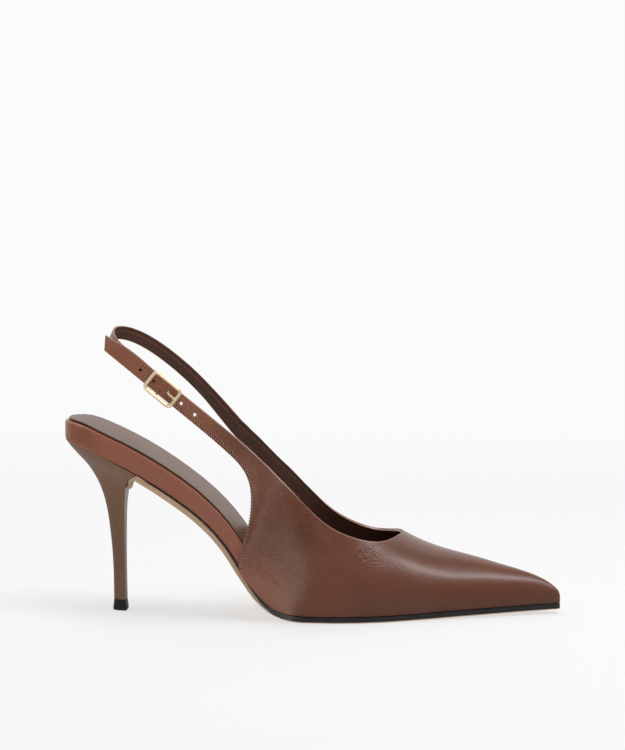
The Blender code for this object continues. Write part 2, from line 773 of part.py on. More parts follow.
def upper_rows(side):
    """All sections of one side, toe first, smoothed along the shoe."""
    front = vamp_rows(side)
    middle = quarter_rows(side)
    back = strap_rows(side)
    rows = np.array(front + middle + back, float)
    low_steps = np.linalg.norm(np.diff(rows[:, :3], axis=0), axis=1)
    top_steps = np.linalg.norm(np.diff(rows[:, 3:6], axis=0), axis=1)
    places = np.concatenate([[0], np.cumsum((low_steps + top_steps) / 2)])
    fine = []
    for first, last in zip(places[:-1], places[1:]):
        steps = max(1, round((last - first) / FINE_STEP))
        fine.extend(np.linspace(first, last, steps, endpoint=False))
    fine = np.array([*fine, places[-1]])
    smooth = read_spline(places, rows, fine)
    throat = places[len(front) - 1]
    quarter_end = places[len(front) + len(middle) - 1]
    top = averaged_edge(places, rows[:, 3:6], throat, fine)
    low = averaged_edge(places, rows[:, :3], quarter_end, fine)
    smooth[fine > throat, 3:6] = top[fine > throat]
    smooth[fine > quarter_end, :3] = low[fine > quarter_end]
    smooth[:, 6] = monotone(places, rows[:, 6], fine)
    smooth[:, 7] = monotone(places, rows[:, 7], fine)
    closed = fine <= throat
    numbers = np.interp(fine[closed], places[: len(front)], np.arange(len(front)))
    smooth[closed] = closed_rows(rows[: len(front)], numbers, side)
    before, end = smooth[closed][-2:]
    start = end[5] - end[2]
    slope = (start - before[5] + before[2]) / (before[3] - end[3])
    near = (places > throat) & (places <= throat + 1.25 * THROAT_BLEND[1])
    back = end[3] - rows[near, 3]
    rises = np.array([closed_rise(row, side) for row in rows[near]])
    bend = np.linalg.lstsq(np.stack([back**2, back**3], 1), rises - start - slope * back, rcond=None)[0]
    for i in np.flatnonzero(~closed):
        part = ease(fine[i], *(throat + np.array(THROAT_BLEND)))
        back = min(end[3] - smooth[i, 3], THROAT_BLEND[1])
        rise = start + slope * back + bend[0] * back**2 + bend[1] * back**3
        turn, height = closed_turn(smooth[i], rise, side)
        smooth[i, 5] = mix(smooth[i, 2] + height, smooth[i, 5], part)
        smooth[i, 6] = mix(turn, smooth[i, 6], part)
    return smooth


def strap_frame():
    """Middle of the buckle on the outer strap's face, and the ways along, across and out of the strap."""
    rows = upper_rows(-1)
    middles = (rows[:, :3] + rows[:, 3:6]) / 2
    free = np.flatnonzero(middles[:, 0] < 0.3 * LENGTH)
    i = free[np.abs(middles[free, 0] - BUCKLE_STATION * LENGTH).argmin()]
    ahead, behind = middles[i - 2], middles[i + 2]
    along = Vector(ahead - behind).normalized()
    across = Vector(rows[i, 3:6] - rows[i, :3])
    across = (across - along * across.dot(along)).normalized()
    out = across.cross(along).normalized()
    if out.y > 0:
        out = -out
    shift = (BUCKLE_STATION * LENGTH - middles[i, 0]) / along.x
    return middles[i] + shift * np.array(along), np.array(along), np.array(across), np.array(out)


def on_strap(along, across, out):
    """A point placed from the middle of the buckle."""
    middle, *directions = strap_frame()
    return middle + along * directions[0] + across * directions[1] + out * directions[2]


def centre_bar_place():
    """Where the centre bar crosses behind the strap: along it, and out of it."""
    fold_radius = CENTRE_BAR / 2 + GAP + SLING_THICKNESS / 2
    return -CENTRE_BAR_BACK, -(WALL + GAP + SLING_THICKNESS / 2 + fold_radius)


def hole_places():
    """Along the strap from the middle of the buckle. The prong stands in the one at 0 pitches."""
    first = PRONG_HOLE - CENTRE_BAR_BACK
    return [first + HOLE_PITCH * k for k in range(-HOLES_BEHIND, HOLES_AHEAD + 1)]


def upper_surface():
    """Outer face of the upper: both sides from the toe back, joined along the ridge of the vamp."""
    vertices = []
    faces = []
    size = SECTION_STEPS + 1
    for side in (-1, 1):
        rows = upper_rows(side)
        start = len(vertices)
        for row in rows:
            vertices.extend(section_curve(row, side))
        for i in range(len(rows) - 1):
            for j in range(SECTION_STEPS):
                corner = start + i * size + j
                face = (corner, corner + 1, corner + size + 1, corner + size)
                faces.append(face if side < 0 else face[::-1])
    return vertices, faces


def build_upper(collection, cutters, material):
    vertices, faces = upper_surface()
    mesh = bpy.data.meshes.new("upper")
    mesh.from_pydata([tuple(map(float, v)) for v in vertices], [], faces)
    work = bmesh.new()
    work.from_mesh(mesh)
    bmesh.ops.remove_doubles(work, verts=work.verts, dist=0.02 * MM)
    work.to_mesh(mesh)
    work.free()
    mesh.shade_smooth()
    upper = new_object("upper", mesh, collection, material)
    wall = upper.modifiers.new("wall", "SOLIDIFY")
    wall.thickness = WALL
    wall.offset = -1
    wall.use_rim = True
    for number, place in enumerate(hole_places()):
        ends = [on_strap(place, 0, WALL), on_strap(place, 0, -2 * WALL)]
        subtract(upper, swept_tube(f"strap_hole_{number}", ends, HOLE_WIDTH / 2, cutters, sides=10))
    return upper


def sling_path():
    """Middle of the sling's thickness, from the inner quarter to behind the tail, and its fold on the bar."""
    last = np.array(strap_rows(1)[-1])
    start = (last[:3] + last[3:6]) / 2
    start[1] -= WALL / 2
    free = [start]
    for row in SLING:
        x = row.station * LENGTH
        free.append((x, SEAT_WIDTH * row.spread, seat_line(x) + SLING_HEIGHT * row.rise))
    bar_along, bar_out = centre_bar_place()
    radius = CENTRE_BAR / 2 + GAP + SLING_THICKNESS / 2
    face = bar_out + radius
    for along, clear in ((-9, 0.15), (-5, 0.05), (-1, 0)):
        free.append(on_strap(bar_along + along * MM, 0, face - clear * MM))
    path = smooth_path(free, 42)
    first = path[1] - path[0]
    path[0] += GAP * first / np.linalg.norm(first)
    fold = [
        on_strap(bar_along + radius * sin(turn), 0, bar_out + radius * cos(turn))
        for turn in np.linspace(0, pi, 7)
    ]
    near = face - SLING_THICKNESS - GAP
    fold += [
        on_strap(bar_along - 1.5 * MM, 0, bar_out - 0.9 * radius),
        on_strap(bar_along - 4 * MM, 0, near - 0.3 * MM),
        on_strap(bar_along - SLING_FOLD, 0, near),
    ]
    return path, np.array(fold)


def build_sling(collection, cutters, material):
    free, fold = sling_path()
    path = np.concatenate([free, fold])
    across_strap = Vector(strap_frame()[2])
    last = np.array(strap_rows(1)[-1])
    across_quarter = Vector(last[3:6] - last[:3]).normalized()
    rings = []
    for i, point in enumerate(path):
        along = Vector(path[min(i + 1, len(path) - 1)] - path[max(i - 1, 0)]).normalized()
        up = Vector((0, 0, 1)).lerp(across_strap, ease(i, 0.4 * len(free), 0.8 * len(free)))
        across = (up - along * up.dot(along)).normalized()
        if i < 4:
            across = across.lerp(across_quarter, 1 - i / 4).normalized()
        through = np.array(along.cross(across)) * SLING_THICKNESS / 2
        across = np.array(across) * mix(STRAP_WIDTH, SLING_WIDTH, ease(i, 0, 8)) / 2
        rings.append([
            point - across - through,
            point + across - through,
            point + across + through,
            point - across + through,
        ])
    sling = new_object("sling_strap", loft("sling_strap", rings, sharp_angle=35), collection, material)
    bar_along, bar_out = centre_bar_place()
    slot_half = PRONG_WIDTH / 2 + GAP
    corners = [
        on_strap(bar_along + along * SLOT_LENGTH / 2, across * slot_half, bar_out + out * SLOT_LENGTH / 2)
        for along in (-1, 1)
        for across in (-1, 1)
        for out in (-1, 1)
    ]
    sides = [(0, 1, 3, 2), (4, 6, 7, 5), (0, 4, 5, 1), (2, 3, 7, 6), (0, 2, 6, 4), (1, 5, 7, 3)]
    slot = mesh_from("prong_slot", corners, sides)
    subtract(sling, new_object("prong_slot", slot, cutters))
    return sling


def frame_outline(half_long, half_high):
    """The middle line of the frame's bar round the buckle, as places along and across the strap."""
    outline = []
    for number, (ahead, above) in enumerate(((1, 1), (-1, 1), (-1, -1), (1, -1))):
        for turn in (0, 30, 60, 90):
            angle = radians(90 * number + turn)
            outline.append((
                ahead * (half_long - BUCKLE_CORNER) + BUCKLE_CORNER * cos(angle),
                above * (half_high - BUCKLE_CORNER) + BUCKLE_CORNER * sin(angle),
            ))
        if ahead == above:
            for part in (0.2, 0.4, 0.6, 0.8):
                reach = half_long - BUCKLE_CORNER
                outline.append((ahead * mix(reach, -reach, part), above * half_high))
    return outline


def build_buckle(collection, cutters, material):
    """Rounded frame in front of the strap. Its sides carry a bar that crosses behind the strap."""
    half_long = (BUCKLE_LENGTH - BUCKLE_BAR) / 2
    half_high = STRAP_WIDTH / 2 + GAP + BUCKLE_DROP + CENTRE_BAR / 2
    out = GAP + BUCKLE_BAR / 2
    path = []
    for a, b in frame_outline(half_long, half_high):
        bow = BUCKLE_BOW * (abs(b) / half_high) ** 6 * (1 - (a / half_long) ** 2)
        path.append(on_strap(a, b - BUCKLE_DROP, out - bow))
    frame = swept_tube("buckle", path, BUCKLE_BAR / 2, collection, closed=True)
    frame.data.materials.append(material)
    bar_along, bar_out = centre_bar_place()
    corner = 0.8 * MM
    leg = [
        (half_high, out - BUCKLE_BOW),
        (half_high, mix(out - BUCKLE_BOW, bar_out, 0.5)),
        (half_high, bar_out + corner),
        (half_high - 0.3 * corner, bar_out + 0.3 * corner),
        (half_high - corner, bar_out),
    ]
    bar_path = leg + [(0, bar_out)] + [(-across, level) for across, level in reversed(leg)]
    bar_path = [on_strap(bar_along, across - BUCKLE_DROP, level) for across, level in bar_path]
    join(frame, swept_tube("centre_bar", bar_path, CENTRE_BAR / 2, cutters))
    return frame


def build_prong(collection, material):
    """Hooked round the centre bar, up through its hole and down on the front bar of the frame."""
    bar_along, bar_out = centre_bar_place()
    radius = CENTRE_BAR / 2 + GAP + PRONG_WIDTH / 2
    hook = [
        (bar_along + radius * cos(radians(turn)), bar_out + radius * sin(radians(turn)))
        for turn in (300, 270, 240, 210, 180, 150, 120, 90)
    ]
    hole = PRONG_HOLE - CENTRE_BAR_BACK
    front = (BUCKLE_LENGTH - BUCKLE_BAR) / 2
    rest = GAP + BUCKLE_BAR + GAP + PRONG_WIDTH / 2
    lead = [
        (hole - 1.1 * MM, bar_out + radius + 0.05 * MM),
        (hole - 0.25 * MM, -WALL - 0.2 * MM),
        (hole, -WALL / 2),
        (hole + 0.25 * MM, 0.35 * MM),
        (hole + 1.3 * MM, rest - 0.7 * MM),
        (front - 0.8 * MM, rest),
        (front + 0.5 * MM, rest),
    ]
    path = [on_strap(along, 0, out) for along, out in hook + lead]
    prong = swept_tube("prong", path, PRONG_WIDTH / 2, collection)
    prong.data.materials.append(material)
    return prong


def stand_on_origin(collection):
    """An empty, for every piece's parent, that brings the middle of the shoe's footprint to the origin."""
    bpy.context.view_layer.update()
    graph = bpy.context.evaluated_depsgraph_get()
    corners = []
    for item in collection.objects:
        evaluated = item.evaluated_get(graph)
        corners.extend(evaluated.matrix_world @ Vector(corner) for corner in evaluated.bound_box)
    corners = np.array(corners)
    middle = (corners.min(axis=0) + corners.max(axis=0)) / 2
    root = bpy.data.objects.new("shoe", None)
    root.location = (-middle[0], -middle[1], -corners[:, 2].min())
    bpy.context.scene.collection.objects.link(root)
    return root


def main():
    for item in list(bpy.data.objects):
        bpy.data.objects.remove(item, do_unlink=True)
    shoe = new_collection("slingback_pump")
    cutters = new_collection("cutters", shown=False)
    leather = new_material("brown_leather", (0.14, 0.055, 0.032), 0.38)
    lining = new_material("sock_leather", (0.20, 0.13, 0.11), 0.45)
    tan = new_material("sole_leather", (0.42, 0.24, 0.12), 0.5)
    lacquer = new_material("heel_lacquer", (0.16, 0.085, 0.055), 0.2)
    rubber = new_material("top_piece_rubber", (0.02, 0.02, 0.02), 0.6)
    gold = new_material("pale_gold", (0.83, 0.66, 0.44), 0.2, 1.0)

    build_outsole(shoe, tan)
    build_heel(shoe, lacquer)
    build_top_piece(shoe, rubber)
    build_insole(shoe, leather)
    build_sock(shoe, lining)
    build_upper(shoe, cutters, leather)
    build_sling(shoe, cutters, leather)
    build_buckle(shoe, cutters, gold)
    build_prong(shoe, gold)
    root = stand_on_origin(shoe)
    for item in list(shoe.objects) + list(cutters.objects):
        item.parent = root


main()
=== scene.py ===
import math

import bmesh
import bpy
import numpy as np
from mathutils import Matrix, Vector


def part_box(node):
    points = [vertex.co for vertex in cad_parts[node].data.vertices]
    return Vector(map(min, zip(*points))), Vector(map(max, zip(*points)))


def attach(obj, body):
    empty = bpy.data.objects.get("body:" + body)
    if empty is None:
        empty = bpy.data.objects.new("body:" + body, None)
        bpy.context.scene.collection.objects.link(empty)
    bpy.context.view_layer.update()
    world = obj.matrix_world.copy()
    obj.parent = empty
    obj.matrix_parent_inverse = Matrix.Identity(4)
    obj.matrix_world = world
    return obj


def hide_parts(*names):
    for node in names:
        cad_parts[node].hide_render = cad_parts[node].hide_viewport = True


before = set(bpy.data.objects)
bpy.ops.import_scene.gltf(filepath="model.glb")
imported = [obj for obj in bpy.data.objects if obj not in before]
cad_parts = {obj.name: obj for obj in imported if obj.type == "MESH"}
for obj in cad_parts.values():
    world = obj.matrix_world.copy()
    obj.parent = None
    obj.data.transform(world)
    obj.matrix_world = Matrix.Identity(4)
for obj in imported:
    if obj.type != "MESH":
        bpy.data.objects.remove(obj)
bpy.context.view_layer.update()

mm = 0.001


class Wire:  # a socket that adds its own Math nodes when it is used in an expression
    def __init__(self, recipe, socket):
        self.recipe = recipe
        self.socket = socket

    def mathNode(self, operation, first, second):
        return self.recipe.add("Math", "Value", {0: first, 1: second}, operation=operation)

    def __add__(self, other):
        return self.mathNode("ADD", self, other)

    def __radd__(self, other):
        return self.mathNode("ADD", other, self)

    def __sub__(self, other):
        return self.mathNode("SUBTRACT", self, other)

    def __rsub__(self, other):
        return self.mathNode("SUBTRACT", other, self)

    def __mul__(self, other):
        return self.mathNode("MULTIPLY", self, other)

    def __rmul__(self, other):
        return self.mathNode("MULTIPLY", other, self)

    def __truediv__(self, other):
        return self.mathNode("DIVIDE", self, other)

    def __rtruediv__(self, other):
        return self.mathNode("DIVIDE", other, self)


class Recipe:  # one material, written from its name down
    def __init__(self, name):
        self.material = bpy.data.materials.new(name)
        self.material.use_nodes = True
        self.tree = self.material.node_tree
        self.tree.nodes.clear()

    def add(self, kind, output, values=None, stops=None, **settings):
        node = self.tree.nodes.new("ShaderNode" + kind)
        for name, setting in settings.items():
            setattr(node, name, setting)
        if stops:
            while len(node.color_ramp.elements) < len(stops):
                node.color_ramp.elements.new(0.5)
            for element, (place, colour) in zip(node.color_ramp.elements, stops):
                element.position = place
                element.color = colour
        for key, value in (values or {}).items():
            if isinstance(value, Wire):
                self.tree.links.new(value.socket, node.inputs[key])
            else:
                node.inputs[key].default_value = value
        return Wire(self, node.outputs[output])

    def place(self):  # a point of the object, in metres
        return self.add("TexCoord", "Object")

    def measure(self, name):  # a number carried by the mesh
        return self.add("Attribute", "Fac", attribute_name=name)

    def axis(self, vector, letter):
        return self.add("SeparateXYZ", letter, {0: vector})

    def step(self, value, low, high):  # 0 below low, 1 above high, smooth between
        return self.add("MapRange", "Result", {"Value": value, "From Min": low, "From Max": high},
                        interpolation_type="SMOOTHSTEP")

    def hump(self, value, centre, half):  # 1 at the centre, 0 a half width away
        return self.step(value, centre - half, centre) * (1 - self.step(value, centre, centre + half))

    def noise(self, place, scale, detail=3.0, stretch=None):
        if stretch:
            place = self.add("VectorMath", "Vector", {0: place, 1: stretch}, operation="MULTIPLY")
        values = {"Vector": place, "Scale": scale, "Detail": detail, "Roughness": 0.55}
        return self.add("TexNoise", "Fac", values)

    def cells(self, place, scale):
        return self.add("TexVoronoi", "Distance", {"Vector": place, "Scale": scale})

    def tint(self, part, first, second):  # first where part is 0, second where it is 1
        first, second = (c if isinstance(c, Wire) else (*c, 1.0) for c in (first, second))
        return self.add("Mix", 2, {0: part, 6: first, 7: second}, data_type="RGBA")

    def bump(self, height, strength, distance, under=None):
        values = {"Height": height, "Strength": strength, "Distance": distance}
        if under:
            values["Normal"] = under
        return self.add("Bump", "Normal", values)

    def finish(self, colour, roughness, normal=None, **fixed):
        values = {"Base Color": colour if isinstance(colour, Wire) else (*colour, 1.0), "Roughness": roughness}
        if normal:
            values["Normal"] = normal
        values.update({name.replace("_", " "): value for name, value in fixed.items()})
        return self.close(self.add("BsdfPrincipled", "BSDF", values))

    def close(self, shader):
        end = self.tree.nodes.new("ShaderNodeOutputMaterial")
        self.tree.links.new(shader.socket, end.inputs["Surface"])
        return self.material


calf = {
    "light": (0.205, 0.070, 0.034),
    "dark": (0.128, 0.041, 0.019),
    "pores": 1500,      # a metre
    "pulledPores": 1050,
    "roughness": 0.33,
    "coat": 0.22,
    "gloss": 0.42,
    "forefootPaintedShade": (-10 * mm, 55 * mm, 0.5),      # painted shade that darkens the forefoot: none, full, strength
    "paintedLightStrap": (-60 * mm, -32 * mm, 0.62),   # painted light along the strap: full, none, strength
    # painted light round the lower waist: place along the shoe, height, full, none, strength
    "paintedLightWaist": (-23.5 * mm, 13 * mm, 8 * mm, 24 * mm, 0.5),
    "creaseWander": 1.6 * mm,   # how far the creases leave their straight lines
    "creaseWanders": 260.0,     # a metre
    "edgeHighlightReach": (0.25 * mm, 0.75 * mm),    # painted highlight, a paler line along the upper edge where it catches light: full, none
    "edgeHighlightTint": (0.42, 0.22, 0.155),
}
# where the pulled leather shows its grain, in metres: place along the shoe, height, reach; and its strength
grainPlaces = [
    (-0.0235, 0.021, 0.022, 1.0), (0.031, 0.031, 0.016, 0.8),
    (-0.053, 0.096, 0.026, 1.0), (-0.080, 0.118, 0.022, 0.8),
]
# creases of the upper, in metres: start and end along the shoe and in height, half width; and the depth's
# share, which also sets the painted shade in them
creasePlaces = [
    (-0.0560, 0.0905, -0.0528, 0.0965, 0.0007, 0.8), (-0.0590, 0.0935, -0.0560, 0.0990, 0.0006, 0.6),
    (-0.0528, 0.0870, -0.0492, 0.0930, 0.0007, 0.9), (-0.0496, 0.0830, -0.0450, 0.0890, 0.0008, 0.7),
    (-0.0625, 0.0960, -0.0600, 0.1010, 0.0006, 0.6), (-0.0664, 0.0990, -0.0640, 0.1040, 0.0006, 0.5),
    (-0.0305, 0.0300, -0.0210, 0.0215, 0.0012, 0.5), (-0.0255, 0.0290, -0.0150, 0.0190, 0.0014, 0.5),
    (0.0255, 0.0350, 0.0275, 0.0315, 0.0010, 0.25), (0.0300, 0.0360, 0.0330, 0.0325, 0.0010, 0.25),
]


def scaled(colour, *shares):
    return tuple(part * share for part, share in zip(colour, shares))


def grainHeight(recipe, place, scale):  # pores of smooth calf
    pores = recipe.cells(place, scale)
    return pores * 0.65 + recipe.noise(place, scale * 1.7, 2.0) * 0.35


def flatLength(recipe, offset):  # a length seen from the side of the shoe
    side = recipe.add("VectorMath", "Vector", {0: offset, 1: (1.0, 0.0, 1.0)}, operation="MULTIPLY")
    return recipe.add("VectorMath", "Value", {0: side}, operation="LENGTH")


def spotShare(recipe, place, x, z, full, none):  # 1 round a place on the side of the shoe, fading to 0
    offset = recipe.add("VectorMath", "Vector", {0: place, 1: (x, 0.0, z)}, operation="SUBTRACT")
    return 1 - recipe.step(flatLength(recipe, offset), full, none)


def grainShare(recipe, place):
    total = 0
    for x, z, reach, strength in grainPlaces:
        total = spotShare(recipe, place, x, z, reach * 0.3, reach) * strength + total
    return total


# lighter patches of painted light: along the strap and round the lower waist
def paintedLightShare(recipe, place):
    full, none, strength = calf["paintedLightStrap"]
    strap = (1 - recipe.step(recipe.axis(place, "X"), full, none)) * strength
    *spot, strength = calf["paintedLightWaist"]
    return strap + spotShare(recipe, place, *spot) * strength


def creaseHeight(recipe, place):
    wander = calf["creaseWander"]
    drift = recipe.add("TexNoise", "Color", {"Vector": place, "Scale": calf["creaseWanders"], "Detail": 1.0})
    drift = recipe.add("VectorMath", "Vector", {0: drift, 1: (wander, 0.0, wander)}, operation="MULTIPLY")
    place = recipe.add("VectorMath", "Vector", {0: place, 1: drift}, operation="ADD")
    total = 0
    for x0, z0, x1, z1, half, depth in creasePlaces:
        start, way = Vector((x0 + wander / 2, 0, z0 + wander / 2)), Vector((x1 - x0, 0, z1 - z0))
        offset = recipe.add("VectorMath", "Vector", {0: place, 1: start}, operation="SUBTRACT")
        whole = way / way.length_squared
        share = recipe.add("VectorMath", "Value", {0: offset, 1: whole}, operation="DOT_PRODUCT")
        share = recipe.add("Clamp", "Result", {"Value": share})
        nearest = recipe.add("VectorMath", "Vector", {0: way, "Scale": share}, operation="SCALE")
        away = recipe.add("VectorMath", "Vector", {0: offset, 1: nearest}, operation="SUBTRACT")
        total = (1 - recipe.step(flatLength(recipe, away), 0, half)) * depth + total
    return total


def calfLeather(name, light=calf["light"], dark=calf["dark"], coat=calf["coat"], gloss=calf["gloss"],
                wornWithPaintedLight=False):
    r = Recipe(name)
    place = r.place()
    clouds = r.noise(place, 26, 4.0)
    fine = r.noise(place, 520, 3.0)
    shade = r.step(clouds * 0.62 + fine * 0.38, 0.34, 0.66)
    colour = r.tint(shade, dark, light)
    red = r.step(r.noise(place, 17, 2.0), 0.50, 0.72)
    colour = r.tint(red * 0.45, colour, scaled(light, 1.12, 0.80, 0.72))
    # painted shade: the forefoot is darkened towards the toe
    none, full, strength = calf["forefootPaintedShade"]
    paintedShade = r.step(r.axis(place, "X"), none, full) * strength
    colour = r.tint(paintedShade, colour, scaled(dark, 0.68, 0.85, 1.25))
    grain = grainHeight(r, place, calf["pores"])
    rough = calf["roughness"] + (clouds - 0.5) * 0.14 + (grain - 0.45) * 0.16
    normal = r.bump(grain, 0.13, 0.3 * mm)
    # real grain and crease bumps, with painted light and painted shade on the upper
    if wornWithPaintedLight:
        # painted light: the strap and the lower waist are lightened
        colour = r.tint(paintedLightShare(r, place), colour, scaled(light, 1.75, 1.85, 1.95))
        share = grainShare(r, place)
        normal = r.bump(r.cells(place, calf["pulledPores"]) * share, 0.55, 0.4 * mm, normal)
        crease = creaseHeight(r, place)
        normal = r.bump(crease * -1, 0.8, 0.7 * mm, normal)
        # painted shade darkens the creases
        colour = r.tint(crease * 0.4, colour, scaled(dark, 0.7, 0.7, 0.7))
        # painted highlight: a paler line just under the upper edge
        seam = 1 - r.step(r.measure("fromTop"), *calf["edgeHighlightReach"])
        colour = r.tint(seam * 0.8, colour, calf["edgeHighlightTint"])
    return r.finish(colour, rough, normal, Coat_Weight=coat, Coat_Roughness=0.2, Specular_IOR_Level=gloss)


liningLook = {
    "foldWidth": 2.25 * mm,     # the outer leather comes over the edge this far
    "ridge": (2.45 * mm, 0.4 * mm),     # middle and half width of its turned edge, which is also painted lighter as a highlight
}


def liningLeather():
    r = Recipe("liningLeather")
    place = r.place()
    fromTop, foldWidth = r.measure("fromTop"), liningLook["foldWidth"]
    clouds = r.noise(place, 60, 4.0)
    colour = r.tint(clouds, (0.066, 0.028, 0.017), (0.108, 0.050, 0.032))
    folded = 1 - r.step(fromTop, foldWidth - 0.15 * mm, foldWidth + 0.15 * mm)
    colour = r.tint(folded, colour, (0.085, 0.032, 0.018))
    ridge = r.hump(fromTop, *liningLook["ridge"])
    # painted highlight along the turned edge
    colour = r.tint(ridge * 0.7, colour, (0.21, 0.10, 0.066))
    normal = r.bump(grainHeight(r, place, calf["pores"]) * 0.25 + ridge, 0.35, 0.4 * mm)
    return r.finish(colour, 0.5 + (clouds - 0.5) * 0.2, normal, Coat_Weight=0.0, Specular_IOR_Level=0.3)


def foldedEdge():
    r = Recipe("foldedEdge")
    place = r.place()
    colour = r.tint(r.noise(place, 300), (0.22, 0.10, 0.066), (0.34, 0.17, 0.115))
    normal = r.bump(r.noise(place, 900), 0.15, 0.2 * mm)
    return r.finish(colour, 0.34, normal, Coat_Weight=0.25, Coat_Roughness=0.25)


def threadFinish():
    r = Recipe("brownThread")
    place = r.place()
    twist = r.noise(place, 2500, 2.0)
    colour = r.tint(twist, (0.33, 0.150, 0.100), (0.48, 0.25, 0.178))
    return r.finish(colour, 0.45, r.bump(twist, 0.3, 0.1 * mm), Sheen_Weight=0.2)


def needleHoleShade():
    # painted shade: a near-black disc stands for the shadow inside a needle hole
    r = Recipe("needleHoleShade")
    depth = r.noise(r.place(), 900)
    return r.finish(r.tint(depth, (0.020, 0.008, 0.005), (0.045, 0.018, 0.010)), 0.7 + depth * 0.2)


def sockLeather():
    r = Recipe("sockLeather")
    place = r.place()
    clouds = r.noise(place, 45, 4.0)
    colour = r.tint(clouds, (0.112, 0.056, 0.037), (0.165, 0.090, 0.064))
    grain = grainHeight(r, place, 1300)
    rough = 0.30 + (clouds - 0.5) * 0.14 + (grain - 0.45) * 0.10
    return r.finish(colour, rough, r.bump(grain, 0.10, 0.2 * mm), Coat_Weight=0.0, Specular_IOR_Level=0.06)


soleLook = {
    "paintFront": 3.1 * mm,      # depth of the painted edge under the foot
    "paintWaist": 0.6 * mm,      # and at the waist, where the edge is feathered
    "waistEnds": (-62 * mm, -8 * mm),
    "flapEnds": (-84 * mm, -80 * mm),
    "rampHeight": 100 * mm,      # height that a full ramp of the seat line stands for
}


def seatRamp(recipe, x):  # height of the insole's underside over every place along the shoe
    stops = []
    for station in np.concatenate([np.linspace(0, 0.5, 22), [0.7, 1.0]]):
        level = (float(seatLine(station * length)) - upperSizes["gap"]) / soleLook["rampHeight"]
        stops.append((float(station), (level, level, level, 1)))
    ramp = recipe.add("ValToRGB", "Color", {"Fac": (x + length / 2) / length}, stops=stops)
    return ramp * soleLook["rampHeight"]


def soleLeather():
    r = Recipe("soleLeather")
    place = r.place()
    x, z = r.axis(place, "X"), r.axis(place, "Z")
    below = seatRamp(r, x) - z
    front = r.step(x, *soleLook["waistEnds"])
    paint = soleLook["paintWaist"] + front * (soleLook["paintFront"] - soleLook["paintWaist"])
    facing = r.add("NewGeometry", "Normal")
    under = r.step(r.axis(facing, "Z") * -1, 0.50, 0.66)   # the underside is never painted
    low = r.step(below - paint, -0.1 * mm, 0.15 * mm)
    behind = 1 - r.step(x, *soleLook["flapEnds"])
    bare = r.add("Math", "Value", {0: under, 1: low}, operation="MAXIMUM")
    bare = r.add("Math", "Value", {0: bare, 1: behind}, operation="MAXIMUM")
    tan = r.tint(r.noise(place, 70, 5.0), (0.52, 0.335, 0.20), (0.66, 0.46, 0.30))
    fibres = r.noise(place, 900, 2.0, stretch=(0.2, 1.0, 1.0))
    tan = r.tint(fibres * 0.5, tan, (0.42, 0.26, 0.155))
    edge = r.tint(r.noise(place, 240), (0.012, 0.012, 0.013), (0.030, 0.029, 0.031))
    rough = 0.30 + bare * 0.24 + (fibres - 0.5) * 0.06
    normal = r.bump(r.noise(place, 1400), 0.12, 0.2 * mm)
    return r.finish(r.tint(bare, edge, tan), rough, normal, Coat_Weight=0.1, Coat_Roughness=0.3)


def heelLacquer():
    r = Recipe("heelLacquer")
    place = r.place()
    colour = r.tint(r.noise(place, 35, 3.0), (0.175, 0.090, 0.050), (0.225, 0.122, 0.072))
    rough = 0.22 + r.noise(place, 90) * 0.06
    normal = r.bump(r.noise(place, 60, 2.0), 0.03, 0.5 * mm)
    return r.finish(colour, rough, normal, Coat_Weight=0.35, Coat_Roughness=0.08, Specular_IOR_Level=0.4)


def blackRubber():
    r = Recipe("topPieceRubber")
    place = r.place()
    speck = r.noise(place, 1200)
    return r.finish(r.tint(speck, (0.010, 0.009, 0.009), (0.024, 0.022, 0.021)), 0.42 + speck * 0.2,
                    r.bump(speck, 0.2, 0.2 * mm))


def paleGold():
    r = Recipe("paleGold")
    place = r.place()
    polish = r.noise(place, 220, 2.0)
    colour = r.tint(polish, (0.88, 0.68, 0.43), (0.95, 0.77, 0.53))
    normal = r.bump(polish, 0.03, 0.1 * mm)
    return r.finish(colour, 0.22 + polish * 0.08, normal, Metallic=0.35, Coat_Weight=0.4, Coat_Roughness=0.1)


print("finishes ready")

# the last that the shoe is built over
last = {
    "length": 250 * mm,
    "ballWidth": 72 * mm,
    "seatWidth": 46 * mm,
    "heelHeight": 87.7 * mm,
    "vampHeight": 38 * mm,
    "instepHeight": 66 * mm,
    "toeSpring": 2.4 * mm,
    "toeRounding": 3.5 * mm,
    "tread": 3.2 * mm,
}
# station along the shoe: share of the heel's height, share of the toe spring
bottomTable = [
    (0.00, 1.000, 0.0), (0.04, 0.974, 0.0), (0.08, 0.921, 0.0), (0.16, 0.803, 0.0), (0.24, 0.653, 0.0),
    (0.30, 0.511, 0.0), (0.34, 0.374, 0.0), (0.37, 0.236, 0.0), (0.40, 0.113, 0.0), (0.43, 0.040, 0.0),
    (0.46, 0.008, 0.0), (0.49, 0.000, 0.0), (0.60, 0.000, 0.0), (0.80, 0.000, 0.4), (1.00, 0.000, 1.0),
]
# station: shares of the seat and ball width, and how far the middle line lies to the inner side
outlineTable = [
    (0.00, 0.500, 0.000, 0.000), (0.12, 0.500, 0.000, 0.000), (0.24, 0.465, 0.000, -0.025),
    (0.32, 0.400, 0.044, -0.042), (0.38, 0.280, 0.154, -0.044), (0.44, 0.140, 0.306, -0.028),
    (0.50, 0.040, 0.435, 0.003), (0.56, 0.000, 0.494, 0.030), (0.60, 0.000, 0.500, 0.053),
    (0.64, 0.000, 0.490, 0.073), (0.70, 0.000, 0.442, 0.092), (0.76, 0.000, 0.366, 0.094),
    (0.82, 0.000, 0.278, 0.083), (0.88, 0.000, 0.192, 0.070), (0.94, 0.000, 0.112, 0.057),
    (1.00, 0.000, 0.050, 0.049),
]
